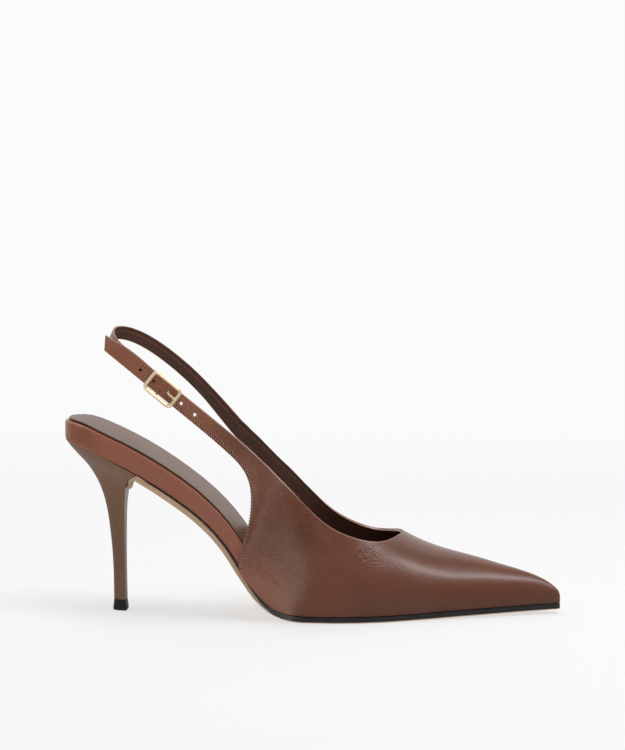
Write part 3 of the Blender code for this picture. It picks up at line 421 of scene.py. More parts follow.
# vamp: station, ridge as a share of the vamp height, steepness at the sole
vampTable = [
    (0.685, 0.968, 72), (0.717, 0.858, 72), (0.757, 0.754, 72), (0.798, 0.676, 73), (0.838, 0.605, 74),
    (0.878, 0.523, 76), (0.919, 0.441, 78), (0.949, 0.367, 80), (0.975, 0.277, 84), (0.991, 0.194, 88),
    (0.998, 0.135, 90), (1.000, 0.080, 90),
]
# quarters: station at the sole and at the topline, shares of the vamp's and the instep's height,
# the topline's spread on the outer and the inner side, turn of the section, steepness at the sole
quarterTable = [
    (0.674, 0.6765, 0.962, 0.000, 0.270, 0.270, 74.0, 72), (0.662, 0.667, 0.930, 0.000, 0.430, 0.430, 64.5, 72),
    (0.642, 0.652, 0.923, 0.000, 0.575, 0.575, 55.0, 72), (0.618, 0.635, 0.937, 0.000, 0.680, 0.680, 47.0, 72),
    (0.592, 0.615, 0.961, 0.000, 0.762, 0.760, 40.4, 72), (0.562, 0.590, 0.830, 0.107, 0.825, 0.820, 35.0, 73),
    (0.530, 0.560, 0.560, 0.313, 0.885, 0.877, 30.0, 74), (0.496, 0.526, 0.220, 0.594, 0.935, 0.918, 25.5, 76),
    (0.462, 0.496, 0.060, 0.799, 0.960, 0.943, 22.0, 79), (0.428, 0.476, 0.000, 0.906, 0.965, 0.960, 19.0, 82),
    (0.393, 0.460, 0.000, 0.958, 0.965, 0.980, 16.0, 86), (0.360, 0.442, 0.000, 1.001, 0.965, 1.010, 13.0, 89),
]
# free part of the quarters and the strap, by middles: station, rise, size, spread low, spread high, swing
outerStrapTable = [
    (0.400, 0.685, 0.443, 0.630, 0.624, 20.4), (0.398, 0.778, 0.317, 0.625, 0.612, 15.0),
    (0.394, 0.855, 0.193, 0.615, 0.604, 10.0), (0.387, 0.904, 0.099, 0.602, 0.596, 7.5),
    (0.378, 0.910, 0.045, 0.592, 0.588, 11.0), (0.365, 0.886, 0.018, 0.580, 0.576, 21.0),
    (0.346, 0.834, 0.008, 0.568, 0.565, 31.5), (0.313, 0.780, 0.001, 0.552, 0.550, 37.4),
    (0.274, 0.761, 0.000, 0.528, 0.528, 38.0), (0.183, 0.794, 0.000, 0.452, 0.452, 38.0),
    (0.117, 0.856, 0.000, 0.398, 0.398, 37.0), (0.090, 0.870, -0.006, 0.374, 0.374, 4.5),
]
innerStrapTable = [
    (0.400, 0.680, 0.432, 0.520, 0.566, 20.4), (0.398, 0.774, 0.309, 0.522, 0.556, 15.0),
    (0.394, 0.855, 0.193, 0.526, 0.546, 10.0), (0.387, 0.904, 0.099, 0.528, 0.538, 8.0),
    (0.3785, 0.921, 0.055, 0.526, 0.530, 11.0), (0.368, 0.905, 0.014, 0.522, 0.524, 22.0),
    (0.355, 0.880, 0.008, 0.517, 0.518, 36.0), (0.338, 0.850, 0.000, 0.512, 0.512, 48.0),
]
# sling from the inner quarter round the back: station, rise over the seat, spread to the inner side
slingTable = [
    (0.3164, 0.945, 0.508), (0.2839, 0.973, 0.492), (0.2434, 1.021, 0.468), (0.2031, 1.055, 0.434),
    (0.1633, 1.078, 0.382), (0.1360, 1.081, 0.325), (0.1152, 1.070, 0.255), (0.1008, 1.049, 0.172),
    (0.0933, 1.023, 0.083), (0.0924, 0.999, -0.010), (0.0970, 0.982, -0.110), (0.1060, 0.966, -0.205),
    (0.1200, 0.953, -0.285), (0.1420, 0.934, -0.343),
]
upperSizes = {
    "wall": 1.5 * mm,
    "gap": 0.3 * mm,             # left between pieces that are built over one another
    "rimOverhang": 0.5 * mm,     # of the insole past the sole's line at the seat
    "quarterClear": 0.1 * mm,    # a little more room between the insole and the quarters
    "tuck": 0.6 * mm,            # how far the wall stands in from the sole's line in front
    "tuckRun": (3 * mm, 30 * mm),    # where it moves in, from the quarters' back
    "quarterBack": 0.36,
    "innerDrop": 1.7 * mm,       # the inner topline is this much lower
    "innerDropRun": (0.41, 0.49, 0.58, 0.67),    # starts, full, still full, ends
    "strapWidth": 8 * mm,
    "strapTurn": 6,
    "fineStep": 1.6 * mm,
    "edgeSmoothing": 4 * mm,
    "edgeStep": 0.5 * mm,
    "throatBlend": (18 * mm, 34 * mm),
    "slopeSteps": 2,
    "sectionSteps": 26,
    "edgeRound": 0.35 * mm,
}
roundHandle = 0.5523     # handle of a curve that follows a quarter circle, as a share of the radius
length = last["length"]
heelLow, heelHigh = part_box("heel")
# from the middle of the seat's back, where the sizes above start, to the frame's origin
shoeMiddle = Vector((-length / 2, (heelLow.y + heelHigh.y) / 2, 0))


def monotone(places, values, at):  # a smooth curve that never overshoots its values
    places, values = np.asarray(places, float), np.asarray(values, float)
    steps = np.diff(places)
    slopes = np.diff(values) / steps
    tangents = np.concatenate([slopes[:1], np.zeros(len(slopes) - 1), slopes[-1:]])
    for i in range(1, len(slopes)):
        if slopes[i - 1] * slopes[i] > 0:
            near, far = 2 * steps[i] + steps[i - 1], steps[i] + 2 * steps[i - 1]
            tangents[i] = (near + far) / (near / slopes[i - 1] + far / slopes[i])
    at = np.clip(np.asarray(at, float), places[0], places[-1])
    cell = np.clip(np.searchsorted(places, at, side="right") - 1, 0, len(steps) - 1)
    step = steps[cell]
    part = (at - places[cell]) / step
    rest = 1 - part
    return (values[cell] * (1 + 2 * part) * rest ** 2 + tangents[cell] * step * part * rest ** 2
            + values[cell + 1] * part ** 2 * (3 - 2 * part) - tangents[cell + 1] * step * part ** 2 * rest)


def readSpline(places, points, at):  # a natural cubic spline through rows of numbers
    steps = np.diff(places)
    rise = np.diff(points, axis=0) / steps[:, None]
    size = len(points)
    system, right = np.eye(size), np.zeros_like(points)
    for i in range(1, size - 1):
        system[i, i - 1:i + 2] = steps[i - 1], 2 * (steps[i - 1] + steps[i]), steps[i]
        right[i] = 6 * (rise[i] - rise[i - 1])
    bend = np.linalg.solve(system, right)
    cell = np.clip(np.searchsorted(places, at, side="right") - 1, 0, size - 2)
    step = steps[cell][:, None]
    after = (at - places[cell])[:, None]
    before = step - after
    return ((bend[cell] * before ** 3 + bend[cell + 1] * after ** 3) / (6 * step)
            + (points[cell] / step - bend[cell] * step / 6) * before
            + (points[cell + 1] / step - bend[cell + 1] * step / 6) * after)


def along(table, column, station):
    return monotone([row[0] for row in table], [row[column] for row in table], station)


def ease(value, start, end):
    part = np.clip((np.asarray(value, float) - start) / (end - start), 0, 1)
    return part * part * (3 - 2 * part)


def seatLine(x):
    station = x / length
    raised = (last["heelHeight"] - last["tread"]) * along(bottomTable, 1, station)
    return last["tread"] + raised + last["toeSpring"] * along(bottomTable, 2, station)


def centreLine(x):
    return last["ballWidth"] * along(outlineTable, 3, x / length)


def fullHalfWidth(x):
    return (last["seatWidth"] * along(outlineTable, 1, x / length)
            + last["ballWidth"] * along(outlineTable, 2, x / length))


def feather(x, side):  # where the outer face of the upper starts
    start = upperSizes["quarterBack"] * length
    clear = upperSizes["rimOverhang"] + upperSizes["gap"] + upperSizes["wall"] + upperSizes["quarterClear"]
    first, end = upperSizes["tuckRun"]
    out = clear + (-upperSizes["tuck"] - clear) * ease(x, start + first, start + end)
    toe = (1 - (1 - np.clip((length - x) / last["toeRounding"], 0, 1)) ** 2) ** 0.5
    return np.array([x, centreLine(x) + side * (fullHalfWidth(x) + out) * toe, seatLine(x)])


def averagedEdge(places, points, start, at):  # an edge averaged with its neighbourhood, both ends kept
    step, spread = upperSizes["edgeStep"], upperSizes["edgeSmoothing"]
    dense = np.linspace(start, places[-1], round((places[-1] - start) / step) + 1)
    edge = readSpline(places, points, dense)
    reach = round(3 * spread / step)
    longer = np.concatenate([2 * edge[0] - edge[reach:0:-1], edge, 2 * edge[-1] - edge[-2:-reach - 2:-1]])
    bell = np.exp(-0.5 * (np.arange(-reach, reach + 1) * step / spread) ** 2)
    bell /= bell.sum()
    smooth = np.stack([np.convolve(values, bell, mode="valid") for values in longer.T], 1)
    return np.stack([np.interp(np.clip(at, start, None), dense, values) for values in smooth.T], 1)


def closedTurn(row, rise, side):  # where a section closed over the middle line passes the upper edge
    part = np.linspace(0.25, 1, 301)
    flare = math.radians(min(row[7], 90))
    middle = centreLine(row[3])
    bulge = row[1] + side * roundHandle * rise * math.cos(flare) / math.sin(flare)
    height = 3 * roundHandle * part * (1 - part) ** 2 + 3 * part ** 2 * (1 - part) + part ** 3
    out = (row[1] * (1 - part) ** 3 + bulge * 3 * part * (1 - part) ** 2
           + (middle + (row[1] - middle) * roundHandle) * 3 * part ** 2 * (1 - part) + middle * part ** 3)
    end = np.interp(-side * row[4], -side * out, part)
    return 90 * end, rise * np.interp(end, part, height)


def closedRise(row, side):
    needed = row[5] - row[2]
    rise = needed
    for _ in range(6):
        rise *= needed / closedTurn(row, rise, side)[1]
    return rise


def closedRows(rows, at, side):  # sections of the closed vamp read along its ridge, which both sides share
    ridge = rows[:, 3:6]
    ridgePlaces = np.concatenate([[0], np.cumsum(np.linalg.norm(np.diff(ridge, axis=0), axis=1))])
    readAt = np.interp(at, np.arange(len(rows)), ridgePlaces)
    read = [(*feather(x, side), x, centreLine(x), z, 90) for x, _, z in readSpline(ridgePlaces, ridge, readAt)]
    return np.column_stack([read, monotone(ridgePlaces, rows[:, 7], readAt)])


def upperRows(side):  # lower edge, upper edge, turn and flare of every section, toe first
    rows = []
    for station, ridge, flare in reversed(vampTable):
        x = station * length
        rows.append((*feather(x, side), x, centreLine(x), seatLine(x) + last["vampHeight"] * ridge, 90, flare))
    frontCount = len(rows)
    dropStart, dropFull, dropHeld, dropEnd = upperSizes["innerDropRun"]
    for station, top, vamp, instep, outer, inner, turn, flare in quarterTable:
        x = top * length
        height = seatLine(x) + last["vampHeight"] * vamp + last["instepHeight"] * instep
        if side > 0:
            drop = ease(top, dropStart, dropFull) * (1 - ease(top, dropHeld, dropEnd))
            height -= upperSizes["innerDrop"] * drop
        y = centreLine(x) + side * fullHalfWidth(x) * (outer if side < 0 else inner)
        rows.append((*feather(station * length, side), x, y, height, turn, flare))
    quarterCount = len(rows)
    for station, rise, size, low, high, swing in outerStrapTable if side < 0 else innerStrapTable:
        x = station * length
        z = seatLine(x) + last["instepHeight"] * rise
        reach = (upperSizes["strapWidth"] + last["instepHeight"] * size) / 2
        forward, upward = reach * math.sin(math.radians(swing)), reach * math.cos(math.radians(swing))
        rows.append((x - forward, side * last["seatWidth"] * low, z - upward,
                     x + forward, side * last["seatWidth"] * high, z + upward, upperSizes["strapTurn"], 90))
    rows = np.array(rows, float)
    lowSteps = np.linalg.norm(np.diff(rows[:, :3], axis=0), axis=1)
    topSteps = np.linalg.norm(np.diff(rows[:, 3:6], axis=0), axis=1)
    places = np.concatenate([[0], np.cumsum((lowSteps + topSteps) / 2)])
    fine = []
    for first, end in zip(places[:-1], places[1:]):
        count = max(1, round((end - first) / upperSizes["fineStep"]))
        fine.extend(np.linspace(first, end, count, endpoint=False))
    fine = np.array(fine + [places[-1]])
    smooth = readSpline(places, rows, fine)
    throat, quarterEnd = places[frontCount - 1], places[quarterCount - 1]
    smooth[fine > throat, 3:6] = averagedEdge(places, rows[:, 3:6], throat, fine)[fine > throat]
    smooth[fine > quarterEnd, :3] = averagedEdge(places, rows[:, :3], quarterEnd, fine)[fine > quarterEnd]
    smooth[:, 6] = monotone(places, rows[:, 6], fine)
    smooth[:, 7] = monotone(places, rows[:, 7], fine)
    closed = fine <= throat
    numbers = np.interp(fine[closed], places[:frontCount], np.arange(frontCount))
    smooth[closed] = closedRows(rows[:frontCount], numbers, side)
    blendStart, blendEnd = upperSizes["throatBlend"]
    before, end = smooth[np.flatnonzero(closed)[[-upperSizes["slopeSteps"], -1]]]
    start = end[5] - end[2]
    slope = (start - before[5] + before[2]) / (before[3] - end[3])
    near = (places > throat) & (places <= throat + 1.25 * blendEnd)
    back = end[3] - rows[near, 3]
    rises = np.array([closedRise(row, side) for row in rows[near]])
    bend = np.linalg.lstsq(np.stack([back ** 2, back ** 3], 1), rises - start - slope * back, rcond=None)[0]
    for i in np.flatnonzero(~closed):
        rest = 1 - float(ease(fine[i], throat + blendStart, throat + blendEnd))
        back = min(end[3] - smooth[i, 3], blendEnd)
        rise = start + slope * back + bend[0] * back ** 2 + bend[1] * back ** 3
        turn, height = closedTurn(smooth[i], rise, side)
        smooth[i, 5] += (smooth[i, 2] + height - smooth[i, 5]) * rest
        smooth[i, 6] += (turn - smooth[i, 6]) * rest
    return smooth, fine, quarterEnd


def sectionCurve(row, side, steps):  # the lower part of a quarter ellipse, flared at the sole
    low, top = np.array(row[:3]), np.array(row[3:6])
    turn, flare = math.radians(min(row[6], 90)), math.radians(min(row[7], 90))
    up = (top - low) * (1, 0, 1) / math.sin(turn)
    inward = (top - low) * (0, 1, 0) / (1 - math.cos(turn))
    flared = np.array([0, side, 0]) * up[2] / math.tan(flare)
    end = turn / (math.pi / 2)
    part = np.linspace(0, end, steps + 1)[:, None]
    rest = 1 - part
    curve = (low * rest ** 3 + (low + roundHandle * (up + flared)) * 3 * part * rest ** 2
             + (low + up + (1 - roundHandle) * inward) * 3 * part ** 2 * rest + (low + up + inward) * part ** 3)
    return curve + (top - curve[-1]) * (part / end) ** 2


def inFrame(points):
    return np.asarray(points, float) + np.array(shoeMiddle)


def makeObject(name, vertices, faces, materials=()):
    mesh = bpy.data.meshes.new(name)
    mesh.from_pydata([tuple(v) for v in vertices], [], faces)
    for material in materials:
        mesh.materials.append(material)
    mesh.shade_smooth()
    piece = bpy.data.objects.new(name, mesh)
    bpy.context.scene.collection.objects.link(piece)
    return piece


def tubeFaces(base, rings, around):  # faces of a tube with closed ends, its rings of vertices one after another
    faces = []
    for low in range(base, base + (rings - 1) * around, around):
        for j in range(around):
            beside = (j + 1) % around
            faces.append((low + j, low + beside, low + around + beside, low + around + j))
    end = base + (rings - 1) * around
    return faces + [tuple(range(base, base + around))[::-1], tuple(range(end, end + around))]


def roundBar(name, start, end, radius, sides):
    way = (end - start).normalized()
    across = way.orthogonal().normalized()
    other = way.cross(across)
    vertices = []
    for middle in (start, end):
        for k in range(sides):
            angle = 2 * math.pi * k / sides
            vertices.append(middle + (across * math.cos(angle) + other * math.sin(angle)) * radius)
    return makeObject(name, vertices, tubeFaces(0, 2, sides))


def faceOutwards(piece):
    work = bmesh.new()
    work.from_mesh(piece.data)
    bmesh.ops.recalc_face_normals(work, faces=work.faces)
    work.to_mesh(piece.data)
    work.free()


def keepModifiers(piece):  # turns the modifiers of a piece into its mesh
    bpy.context.view_layer.update()
    graph = bpy.context.evaluated_depsgraph_get()
    mesh = bpy.data.meshes.new_from_object(piece.evaluated_get(graph), depsgraph=graph)
    piece.modifiers.clear()
    old = piece.data
    piece.data = mesh
    bpy.data.meshes.remove(old)


def runAlong(points):  # distance of every point from the first, along their path
    return np.concatenate([[0], np.cumsum(np.linalg.norm(np.diff(points, axis=0), axis=1))])


# both sides of the upper: sections, their places along the edges, and the place where the quarter ends
upperSides = {side: upperRows(side) for side in (-1, 1)}
buckle = {
    "station": 0.209,
    "strapFrom": 0.3,        # the strap is free behind this station
    "reach": 8 * mm,         # length of strap that gives its direction
}


def strapFrame():  # middle of the buckle on the strap's face, and the ways along, across and out
    rows = upperSides[-1][0]
    place = buckle["station"] * length
    middles = (rows[:, :3] + rows[:, 3:6]) / 2
    free = np.flatnonzero(middles[:, 0] < buckle["strapFrom"] * length)
    i = free[np.abs(middles[free, 0] - place).argmin()]
    reach = round(buckle["reach"] / upperSizes["fineStep"])
    way = Vector(middles[i - reach] - middles[i + reach]).normalized()
    across = Vector(rows[i, 3:6] - rows[i, :3])
    across = (across - way * across.dot(way)).normalized()
    out = across.cross(way).normalized()
    if out.y > 0:
        out = -out
    middle = Vector(middles[i]) + way * ((place - middles[i, 0]) / way.x)
    return middle, way, across, out


strapMiddle, strapWay, strapAcross, strapOut = strapFrame()


def onStrap(ahead, above, out):
    return np.array(strapMiddle + strapWay * ahead + strapAcross * above + strapOut * out)


view = {
    "azimuth": 3.5,      # degrees from square on to the outer side, towards the toe
    "elevation": 5.45,
    "distance": 1.306,
    "aim": 0.1202,       # height looked at
    "lens": 124.8,
}


def setCamera():
    azimuth, elevation = math.radians(view["azimuth"]), math.radians(view["elevation"])
    back = Vector((math.sin(azimuth) * math.cos(elevation), -math.cos(azimuth) * math.cos(elevation),
                   math.sin(elevation)))
    data = bpy.data.cameras.new("photoCamera")
    camera = bpy.data.objects.new("photoCamera", data)
    bpy.context.scene.collection.objects.link(camera)
    data.lens, data.sensor_width, data.clip_end = view["lens"], 36, 20
    camera.location = Vector((0, shoeMiddle.y, view["aim"])) + back * view["distance"]
    camera.rotation_euler = back.to_track_quat("Z", "Y").to_euler()
    bpy.context.scene.camera = camera


def softLight(name, place, aim, size, power):
    data = bpy.data.lights.new(name, "AREA")
    data.shape = "RECTANGLE"
    data.size, data.size_y = size
    data.energy = power
    light = bpy.data.objects.new(name, data)
    bpy.context.scene.collection.objects.link(light)
    light.location = place
    light.rotation_euler = (Vector(place) - Vector(aim)).to_track_quat("Z", "Y").to_euler()


studio = {
    "room": 0.16,
    "paper": (0.785, 0.785, 0.785),
    "backdrop": 0.958,      # brightness of the far paper, where the light falls evenly
    "evenShare": (0.62, 0.12, 0.8),     # of that even light: share near the shoe, distances where it grows to 1
    "card": 0.12,           # what glossy pieces see of the floor, as with a dark card before the lens
    "cardShare": (0.8, 0.1, 0.9),       # how much they see of it, distances where it ends
    # a bright wedge of the floor beside it: from, angle, half widths of the full and the whole wedge, strength
    "cardGap": ((-0.010, -0.036), 27, 2, 17, 2.6),
    "aim": (0, 0, 0.04),
    "overhead": ((0.02, 0.02, 1.15), (1.5, 0.42), 10.5),     # place, size, power
    "front": ((0.35, -1.5, 1.0), (1.2, 0.8), 2.2),
    "left": ((-1.3, -0.5, 0.8), (0.7, 0.9), 2.4),
    "strip": ((0.64, -0.19, 0.90), (0.50, 0.11), 2.0),       # makes the streak along the forefoot
    "side": ((0.83, 0.02, 0.74), (0.22, 0.20), 1.15),
}


def cardShine(r, place):  # brightness that glossy pieces see on the floor
    (fromX, fromY), turned, inner, outer, strength = studio["cardGap"]
    across = {0: fromX - r.axis(place, "X"), 1: fromY - r.axis(place, "Y")}
    angle = r.add("Math", "Value", across, operation="ARCTAN2") * math.degrees(1)
    aside = r.add("Math", "Value", {0: angle - turned}, operation="ABSOLUTE")
    bright = (1 - r.step(aside, inner, outer)) * strength + studio["card"]
    colour = r.tint(bright / strength, (0, 0, 0), (1, 1, 1))
    return r.add("Emission", "Emission", {"Color": colour, "Strength": strength})


def palePaper():
    r = Recipe("palePaper")
    place = r.place()
    far = r.axis(place, "Y")
    tone = r.tint(r.noise(place, 3.0), studio["paper"], scaled(studio["paper"], 0.985, 0.985, 0.985))
    paper = r.add("BsdfPrincipled", "BSDF", {"Base Color": tone, "Roughness": 0.9, "Specular IOR Level": 0.1})
    even = r.add("Emission", "Emission", {"Color": (1, 1, 1, 1), "Strength": studio["backdrop"]})
    near, grows, full = studio["evenShare"]
    pale = r.add("MixShader", "Shader", {0: near + r.step(far, grows, full) * (1 - near), 1: paper, 2: even})
    share, fades, none = studio["cardShare"]
    seen = r.add("LightPath", "Is Glossy Ray") * (1 - r.step(far, fades, none)) * share
    return r.close(r.add("MixShader", "Shader", {0: seen, 1: pale, 2: cardShine(r, place)}))


def paleSweep():  # floor and backdrop in one curved sheet
    flat, radius, high, wide = 1.1, 0.9, 3.0, 5.0
    profile = [(-4.0, 0.0), (-1.0, 0.0), (0.0, 0.0), (flat, 0.0)]
    for turn in range(6, 91, 6):
        angle = math.radians(turn)
        profile.append((flat + radius * math.sin(angle), radius * (1 - math.cos(angle))))
    profile.append((flat + radius, high))
    vertices = [(x, y, z) for y, z in profile for x in (-wide, wide)]
    faces = [(2 * i, 2 * i + 1, 2 * i + 3, 2 * i + 2) for i in range(len(profile) - 1)]
    sweep = makeObject("paleSweep", vertices, faces, [palePaper()])


def setStudio():
    scene = bpy.context.scene
    scene.view_settings.view_transform = "Standard"
    scene.view_settings.look = "None"
    world = bpy.data.worlds.new("studioRoom")
    world.use_nodes = True
    background = world.node_tree.nodes["Background"]
    background.inputs["Color"].default_value = (1, 1, 1, 1)
    background.inputs["Strength"].default_value = studio["room"]
    scene.world = world
    for name in ("overhead", "front", "left", "strip", "side"):
        place, size, power = studio[name]
        softLight(name + "Box", place, studio["aim"], size, power)
    paleSweep()


setCamera()
setStudio()
print("camera and studio set")


upperLook = {
    "holeWidth": 1.7 * mm,
    "holePlaces": [(2.6 + 8.8 * k) * mm for k in range(-2, 3)],   # along the strap, from the buckle's middle
    "punch": (2 * mm, -4 * mm),      # the punch's ends, out of the strap's face
}


def makeUpper():
    vertices, faces, fromTop = [], [], []
    steps, throatX = upperSizes["sectionSteps"], vampTable[0][0] * length
    for side, (rows, _, _) in upperSides.items():
        start = len(vertices)
        for row in rows:
            curve = sectionCurve(row, side, steps)
            run = runAlong(curve)
            vertices.extend(inFrame(curve))
            fromTop.extend(run[-1] - run + max(0, row[3] - throatX))   # the ridge of the vamp has no edge
        for i in range(len(rows) - 1):
            for j in range(steps):
                corner = start + i * (steps + 1) + j
                face = (corner, corner + 1, corner + steps + 2, corner + steps + 1)
                faces.append(face if side < 0 else face[::-1])
    leathers = [calfLeather("upperCalf", wornWithPaintedLight=True), liningLeather(), foldedEdge()]
    piece = makeObject("upperShell", vertices, faces, leathers)
    piece.data.attributes.new("fromTop", "FLOAT", "POINT").data.foreach_set("value", fromTop)
    work = bmesh.new()
    work.from_mesh(piece.data)
    bmesh.ops.remove_doubles(work, verts=work.verts, dist=0.02 * mm)
    work.to_mesh(piece.data)
    work.free()
    wall = piece.modifiers.new("wall", "SOLIDIFY")
    wall.thickness, wall.offset, wall.use_rim = upperSizes["wall"], -1, True
    wall.material_offset, wall.material_offset_rim = 1, 2
    punches = []
    for number, place in enumerate(upperLook["holePlaces"]):
        ends = [Vector(inFrame(onStrap(place, 0, out))) for out in upperLook["punch"]]
        punch = roundBar(f"punch{number}", *ends, upperLook["holeWidth"] / 2, 20)
        cut = piece.modifiers.new(f"hole{number}", "BOOLEAN")
        cut.object, cut.operation, cut.solver = punch, "DIFFERENCE", "EXACT"
        punches.append(punch)
    keepModifiers(piece)
    for punch in punches:
        bpy.data.objects.remove(punch, do_unlink=True)
    soft = piece.modifiers.new("edges", "BEVEL")
    soft.width, soft.segments = upperSizes["edgeRound"], 3
    soft.limit_method, soft.angle_limit = "ANGLE", math.radians(50)
    soft.harden_normals = True
    return piece


upperShell = makeUpper()
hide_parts("upper")
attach(upperShell, "root")
print("upper made")


# sling band, from the inner quarter round the back to the buckle
slingLook = {
    "width": 6.9 * mm,
    "thickness": 1.1 * mm,
    "height": 59 * mm,
    "barBack": 1.7 * mm,
    "barWidth": 1.1 * mm,
    "gap": 0.3 * mm,
    "tuck": 1.2 * mm,
    "fold": 9 * mm,
    "edgeRound": 0.28 * mm,
    # how it comes in behind the strap: places ahead of the bar, room left
    "approach": ((-9 * mm, 0.15 * mm), (-5 * mm, 0.05 * mm), (-1 * mm, 0)),
    "pathSteps": 130,
    "foldSteps": 13,
    "rungs": 7,              # strips across each flat face
    "leaves": 0.1,           # share of its length in which it turns away from the quarter
    "narrows": 0.19,         # and in which it narrows
    "turns": (0.4, 0.8),     # and between which it turns square to the strap
}


def slingPath():
    end = upperSides[1][0][-1]
    start = (end[:3] + end[3:6]) / 2
    start[1] -= upperSizes["wall"] / 2
    free = [start]
    for station, rise, spread in slingTable:
        x = station * length
        free.append((x, last["seatWidth"] * spread, seatLine(x) + slingLook["height"] * rise))
    thick, gap = slingLook["thickness"], slingLook["gap"]
    radius = slingLook["barWidth"] / 2 + gap + thick / 2
    barOut = -(upperSizes["wall"] + gap + thick / 2 + radius)
    bar = -slingLook["barBack"]
    face = barOut + radius
    for ahead, clear in slingLook["approach"]:
        free.append(onStrap(bar + ahead, 0, face - clear))
    free = np.array(free, float)
    places = runAlong(free)
    path = readSpline(places, free, np.linspace(0, places[-1], slingLook["pathSteps"]))
    first = path[1] - path[0]
    path[0] -= slingLook["tuck"] * first / np.linalg.norm(first)   # sewn in between quarter and lining
    turns = np.linspace(0, math.pi, slingLook["foldSteps"])
    fold = [onStrap(bar + radius * math.sin(turn), 0, barOut + radius * math.cos(turn)) for turn in turns]
    near = face - thick - gap
    fold += [onStrap(bar - 1.5 * mm, 0, barOut - 0.9 * radius), onStrap(bar - 4 * mm, 0, near - gap),
             onStrap(bar - slingLook["fold"], 0, near)]
    return path, np.array(fold), Vector(end[3:6] - end[:3]).normalized()


def bandSection(halfWidth, halfThick):  # a ring of points with round corners, as distances across and through
    soft, rungs = slingLook["edgeRound"], slingLook["rungs"]
    ring = []
    for quarter, (across, through) in enumerate(((-1, -1), (1, -1), (1, 1), (-1, 1))):
        for turn in (0, 45, 90):
            angle = math.radians(180 + 90 * quarter + turn)
            ring.append((across * (halfWidth - soft) + soft * math.cos(angle),
                         through * (halfThick - soft) + soft * math.sin(angle)))
    section = []
    for (across, through), (endAcross, endThrough) in zip(ring, ring[1:] + ring[:1]):
        parts = rungs if abs(across - endAcross) > halfWidth else 1
        for t in range(parts):
            share = t / parts
            section.append((across + (endAcross - across) * share, through + (endThrough - through) * share))
    return section


def makeSling():
    free, fold, quarterAcross = slingPath()
    path = np.concatenate([free, fold])
    vertices, fromTop, depths = [], [], []
    halfThick, leaves = slingLook["thickness"] / 2, slingLook["leaves"]
    for i, point in enumerate(path):
        way = Vector(path[min(i + 1, len(path) - 1)] - path[max(i - 1, 0)]).normalized()
        part = i / len(free)
        up = Vector((0, 0, 1)).lerp(strapAcross, float(ease(part, *slingLook["turns"])))
        across = (up - way * up.dot(way)).normalized()
        if part < leaves:
            across = across.lerp(quarterAcross, 1 - part / leaves).normalized()
        through = way.cross(across)
        narrower = (slingLook["width"] - upperSizes["strapWidth"]) * float(ease(part, 0, slingLook["narrows"]))
        halfWidth = (upperSizes["strapWidth"] + narrower) / 2
        for aside, depth in bandSection(halfWidth, halfThick):
            vertices.append(inFrame(point + np.array(across) * aside + np.array(through) * depth))
            fromTop.append(halfWidth - aside)
            depths.append(depth)
    leathers = [calfLeather("slingCalf"), liningLeather(), foldedEdge()]
    piece = makeObject("slingBand", vertices, tubeFaces(0, len(path), len(vertices) // len(path)), leathers)
    piece.data.attributes.new("fromTop", "FLOAT", "POINT").data.foreach_set("value", fromTop)
    for face in piece.data.polygons:
        depth = [depths[v] for v in face.vertices]
        if max(depth) < -halfThick + 0.05 * mm:
            face.material_index = 1
        elif min(depth) < halfThick - 0.05 * mm:
            face.material_index = 2
    faceOutwards(piece)
    return piece


slingBand = makeSling()
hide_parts("sling_strap")
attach(slingBand, "root")
print("sling band made")


stitchLook = {
    "inset": 1.7 * mm,
    "pitch": 1.55 * mm,
    "length": 1.8 * mm,
    "slant": 52,            # degrees across the seam
    "thread": 0.28 * mm,
    "rise": 0.14 * mm,      # of a stitch's middle over the leather
    "dive": 0.275 * mm,     # of its ends under its middle
    "thinner": 0.55,        # share that its ends lose
    "hole": 0.36 * mm,
    "holeEnds": (-0.10 * mm, 0.05 * mm),
    "start": -4 * mm,       # from the foot of the quarter's back edge
    "end": {-1: 92 * mm, 1: 52 * mm},
    "rings": 6,
    "around": 8,
}


def stitchPath(side):  # up the quarter's back edge and along the strap's lower edge
    rows, fine, quarterEnd = upperSides[side]
    steps = 60
    path, ups = [], []
    for row, place in zip(rows, fine):
        if not stitchLook["start"] <= place - quarterEnd <= stitchLook["end"][side]:
            continue
        curve = sectionCurve(row, side, steps)
        run = runAlong(curve)
        path.append([np.interp(stitchLook["inset"], run, curve[:, a]) for a in range(3)])
        ups.append(curve[steps // 5] - curve[0])
    return np.array(path), np.array(ups)


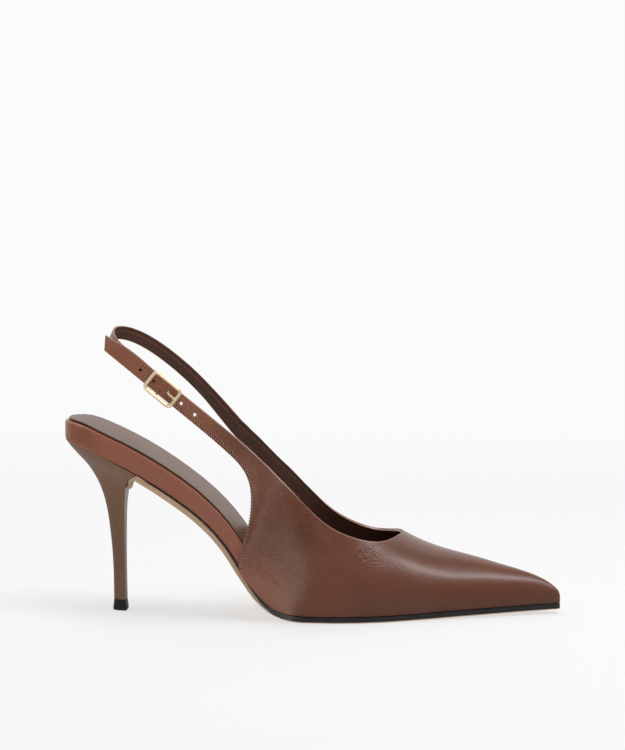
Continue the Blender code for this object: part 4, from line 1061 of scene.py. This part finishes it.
def makeStitches(name, side, finishes):  # slanted stitches with a needle hole between each two, drawn as a dark disc of painted shade
    path, ups = stitchPath(side)
    places = runAlong(path)
    vertices, faces, kinds = [], [], []
    pitch, hole, around = stitchLook["pitch"], stitchLook["hole"], stitchLook["around"]
    slant = math.radians(stitchLook["slant"])

    def at(table, place):
        return Vector([np.interp(place, places, table[:, a]) for a in range(3)])

    def addTube(kind, rings):  # every ring by its middle and the two radii that it turns between
        tube = tubeFaces(len(vertices), len(rings), around)
        faces.extend(tube)
        kinds.extend([kind] * len(tube))
        for middle, first, second in rings:
            for k in range(around):
                angle = 2 * math.pi * k / around
                vertices.append(inFrame(middle + first * math.cos(angle) + second * math.sin(angle)))

    for number in range(int(places[-1] / pitch)):
        centre = (number + 0.5) * pitch
        seam = (at(path, centre + 1 * mm) - at(path, centre - 1 * mm)).normalized()
        out = seam.cross(at(ups, centre)).normalized()
        if out.y * side < 0:
            out = -out
        across = out.cross(seam).normalized()
        if across.z < 0:
            across = -across
        way = seam * math.cos(slant) + across * math.sin(slant)
        beside = out.cross(way)
        middle, strand = at(path, centre), []
        for t in np.linspace(-0.5, 0.5, stitchLook["rings"]):
            lift = stitchLook["rise"] - stitchLook["dive"] * 4 * t * t
            size = stitchLook["thread"] * (1 - stitchLook["thinner"] * 4 * t * t)
            strand.append((middle + way * (t * stitchLook["length"]) + out * lift, beside * size, out * size))
        addTube(0, strand)
        middle = at(path, centre + pitch / 2)
        # the needle hole: a dark disc of painted shade just at the leather's face
        addTube(1, [(middle + out * level, seam * hole, across * hole) for level in stitchLook["holeEnds"]])
    piece = makeObject(name, vertices, faces, finishes)
    piece.data.polygons.foreach_set("material_index", kinds)
    faceOutwards(piece)
    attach(piece, "root")


stitchFinishes = [threadFinish(), needleHoleShade()]
makeStitches("outerQuarterStitches", -1, stitchFinishes)
makeStitches("innerQuarterStitches", 1, stitchFinishes)
print("stitches made")


# the hard pieces keep their shape and get their finish
def dress(node, material):
    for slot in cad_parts[node].material_slots:
        slot.material = material


dress("outsole", soleLeather())
dress("heel", heelLacquer())
dress("top_piece", blackRubber())
dress("insole", calfLeather("rimCalf", (0.325, 0.117, 0.069), (0.280, 0.101, 0.060), coat=0.08, gloss=0.22))
dress("sock", sockLeather())
gold = paleGold()
dress("buckle", gold)
dress("prong", gold)
print("finishes given")
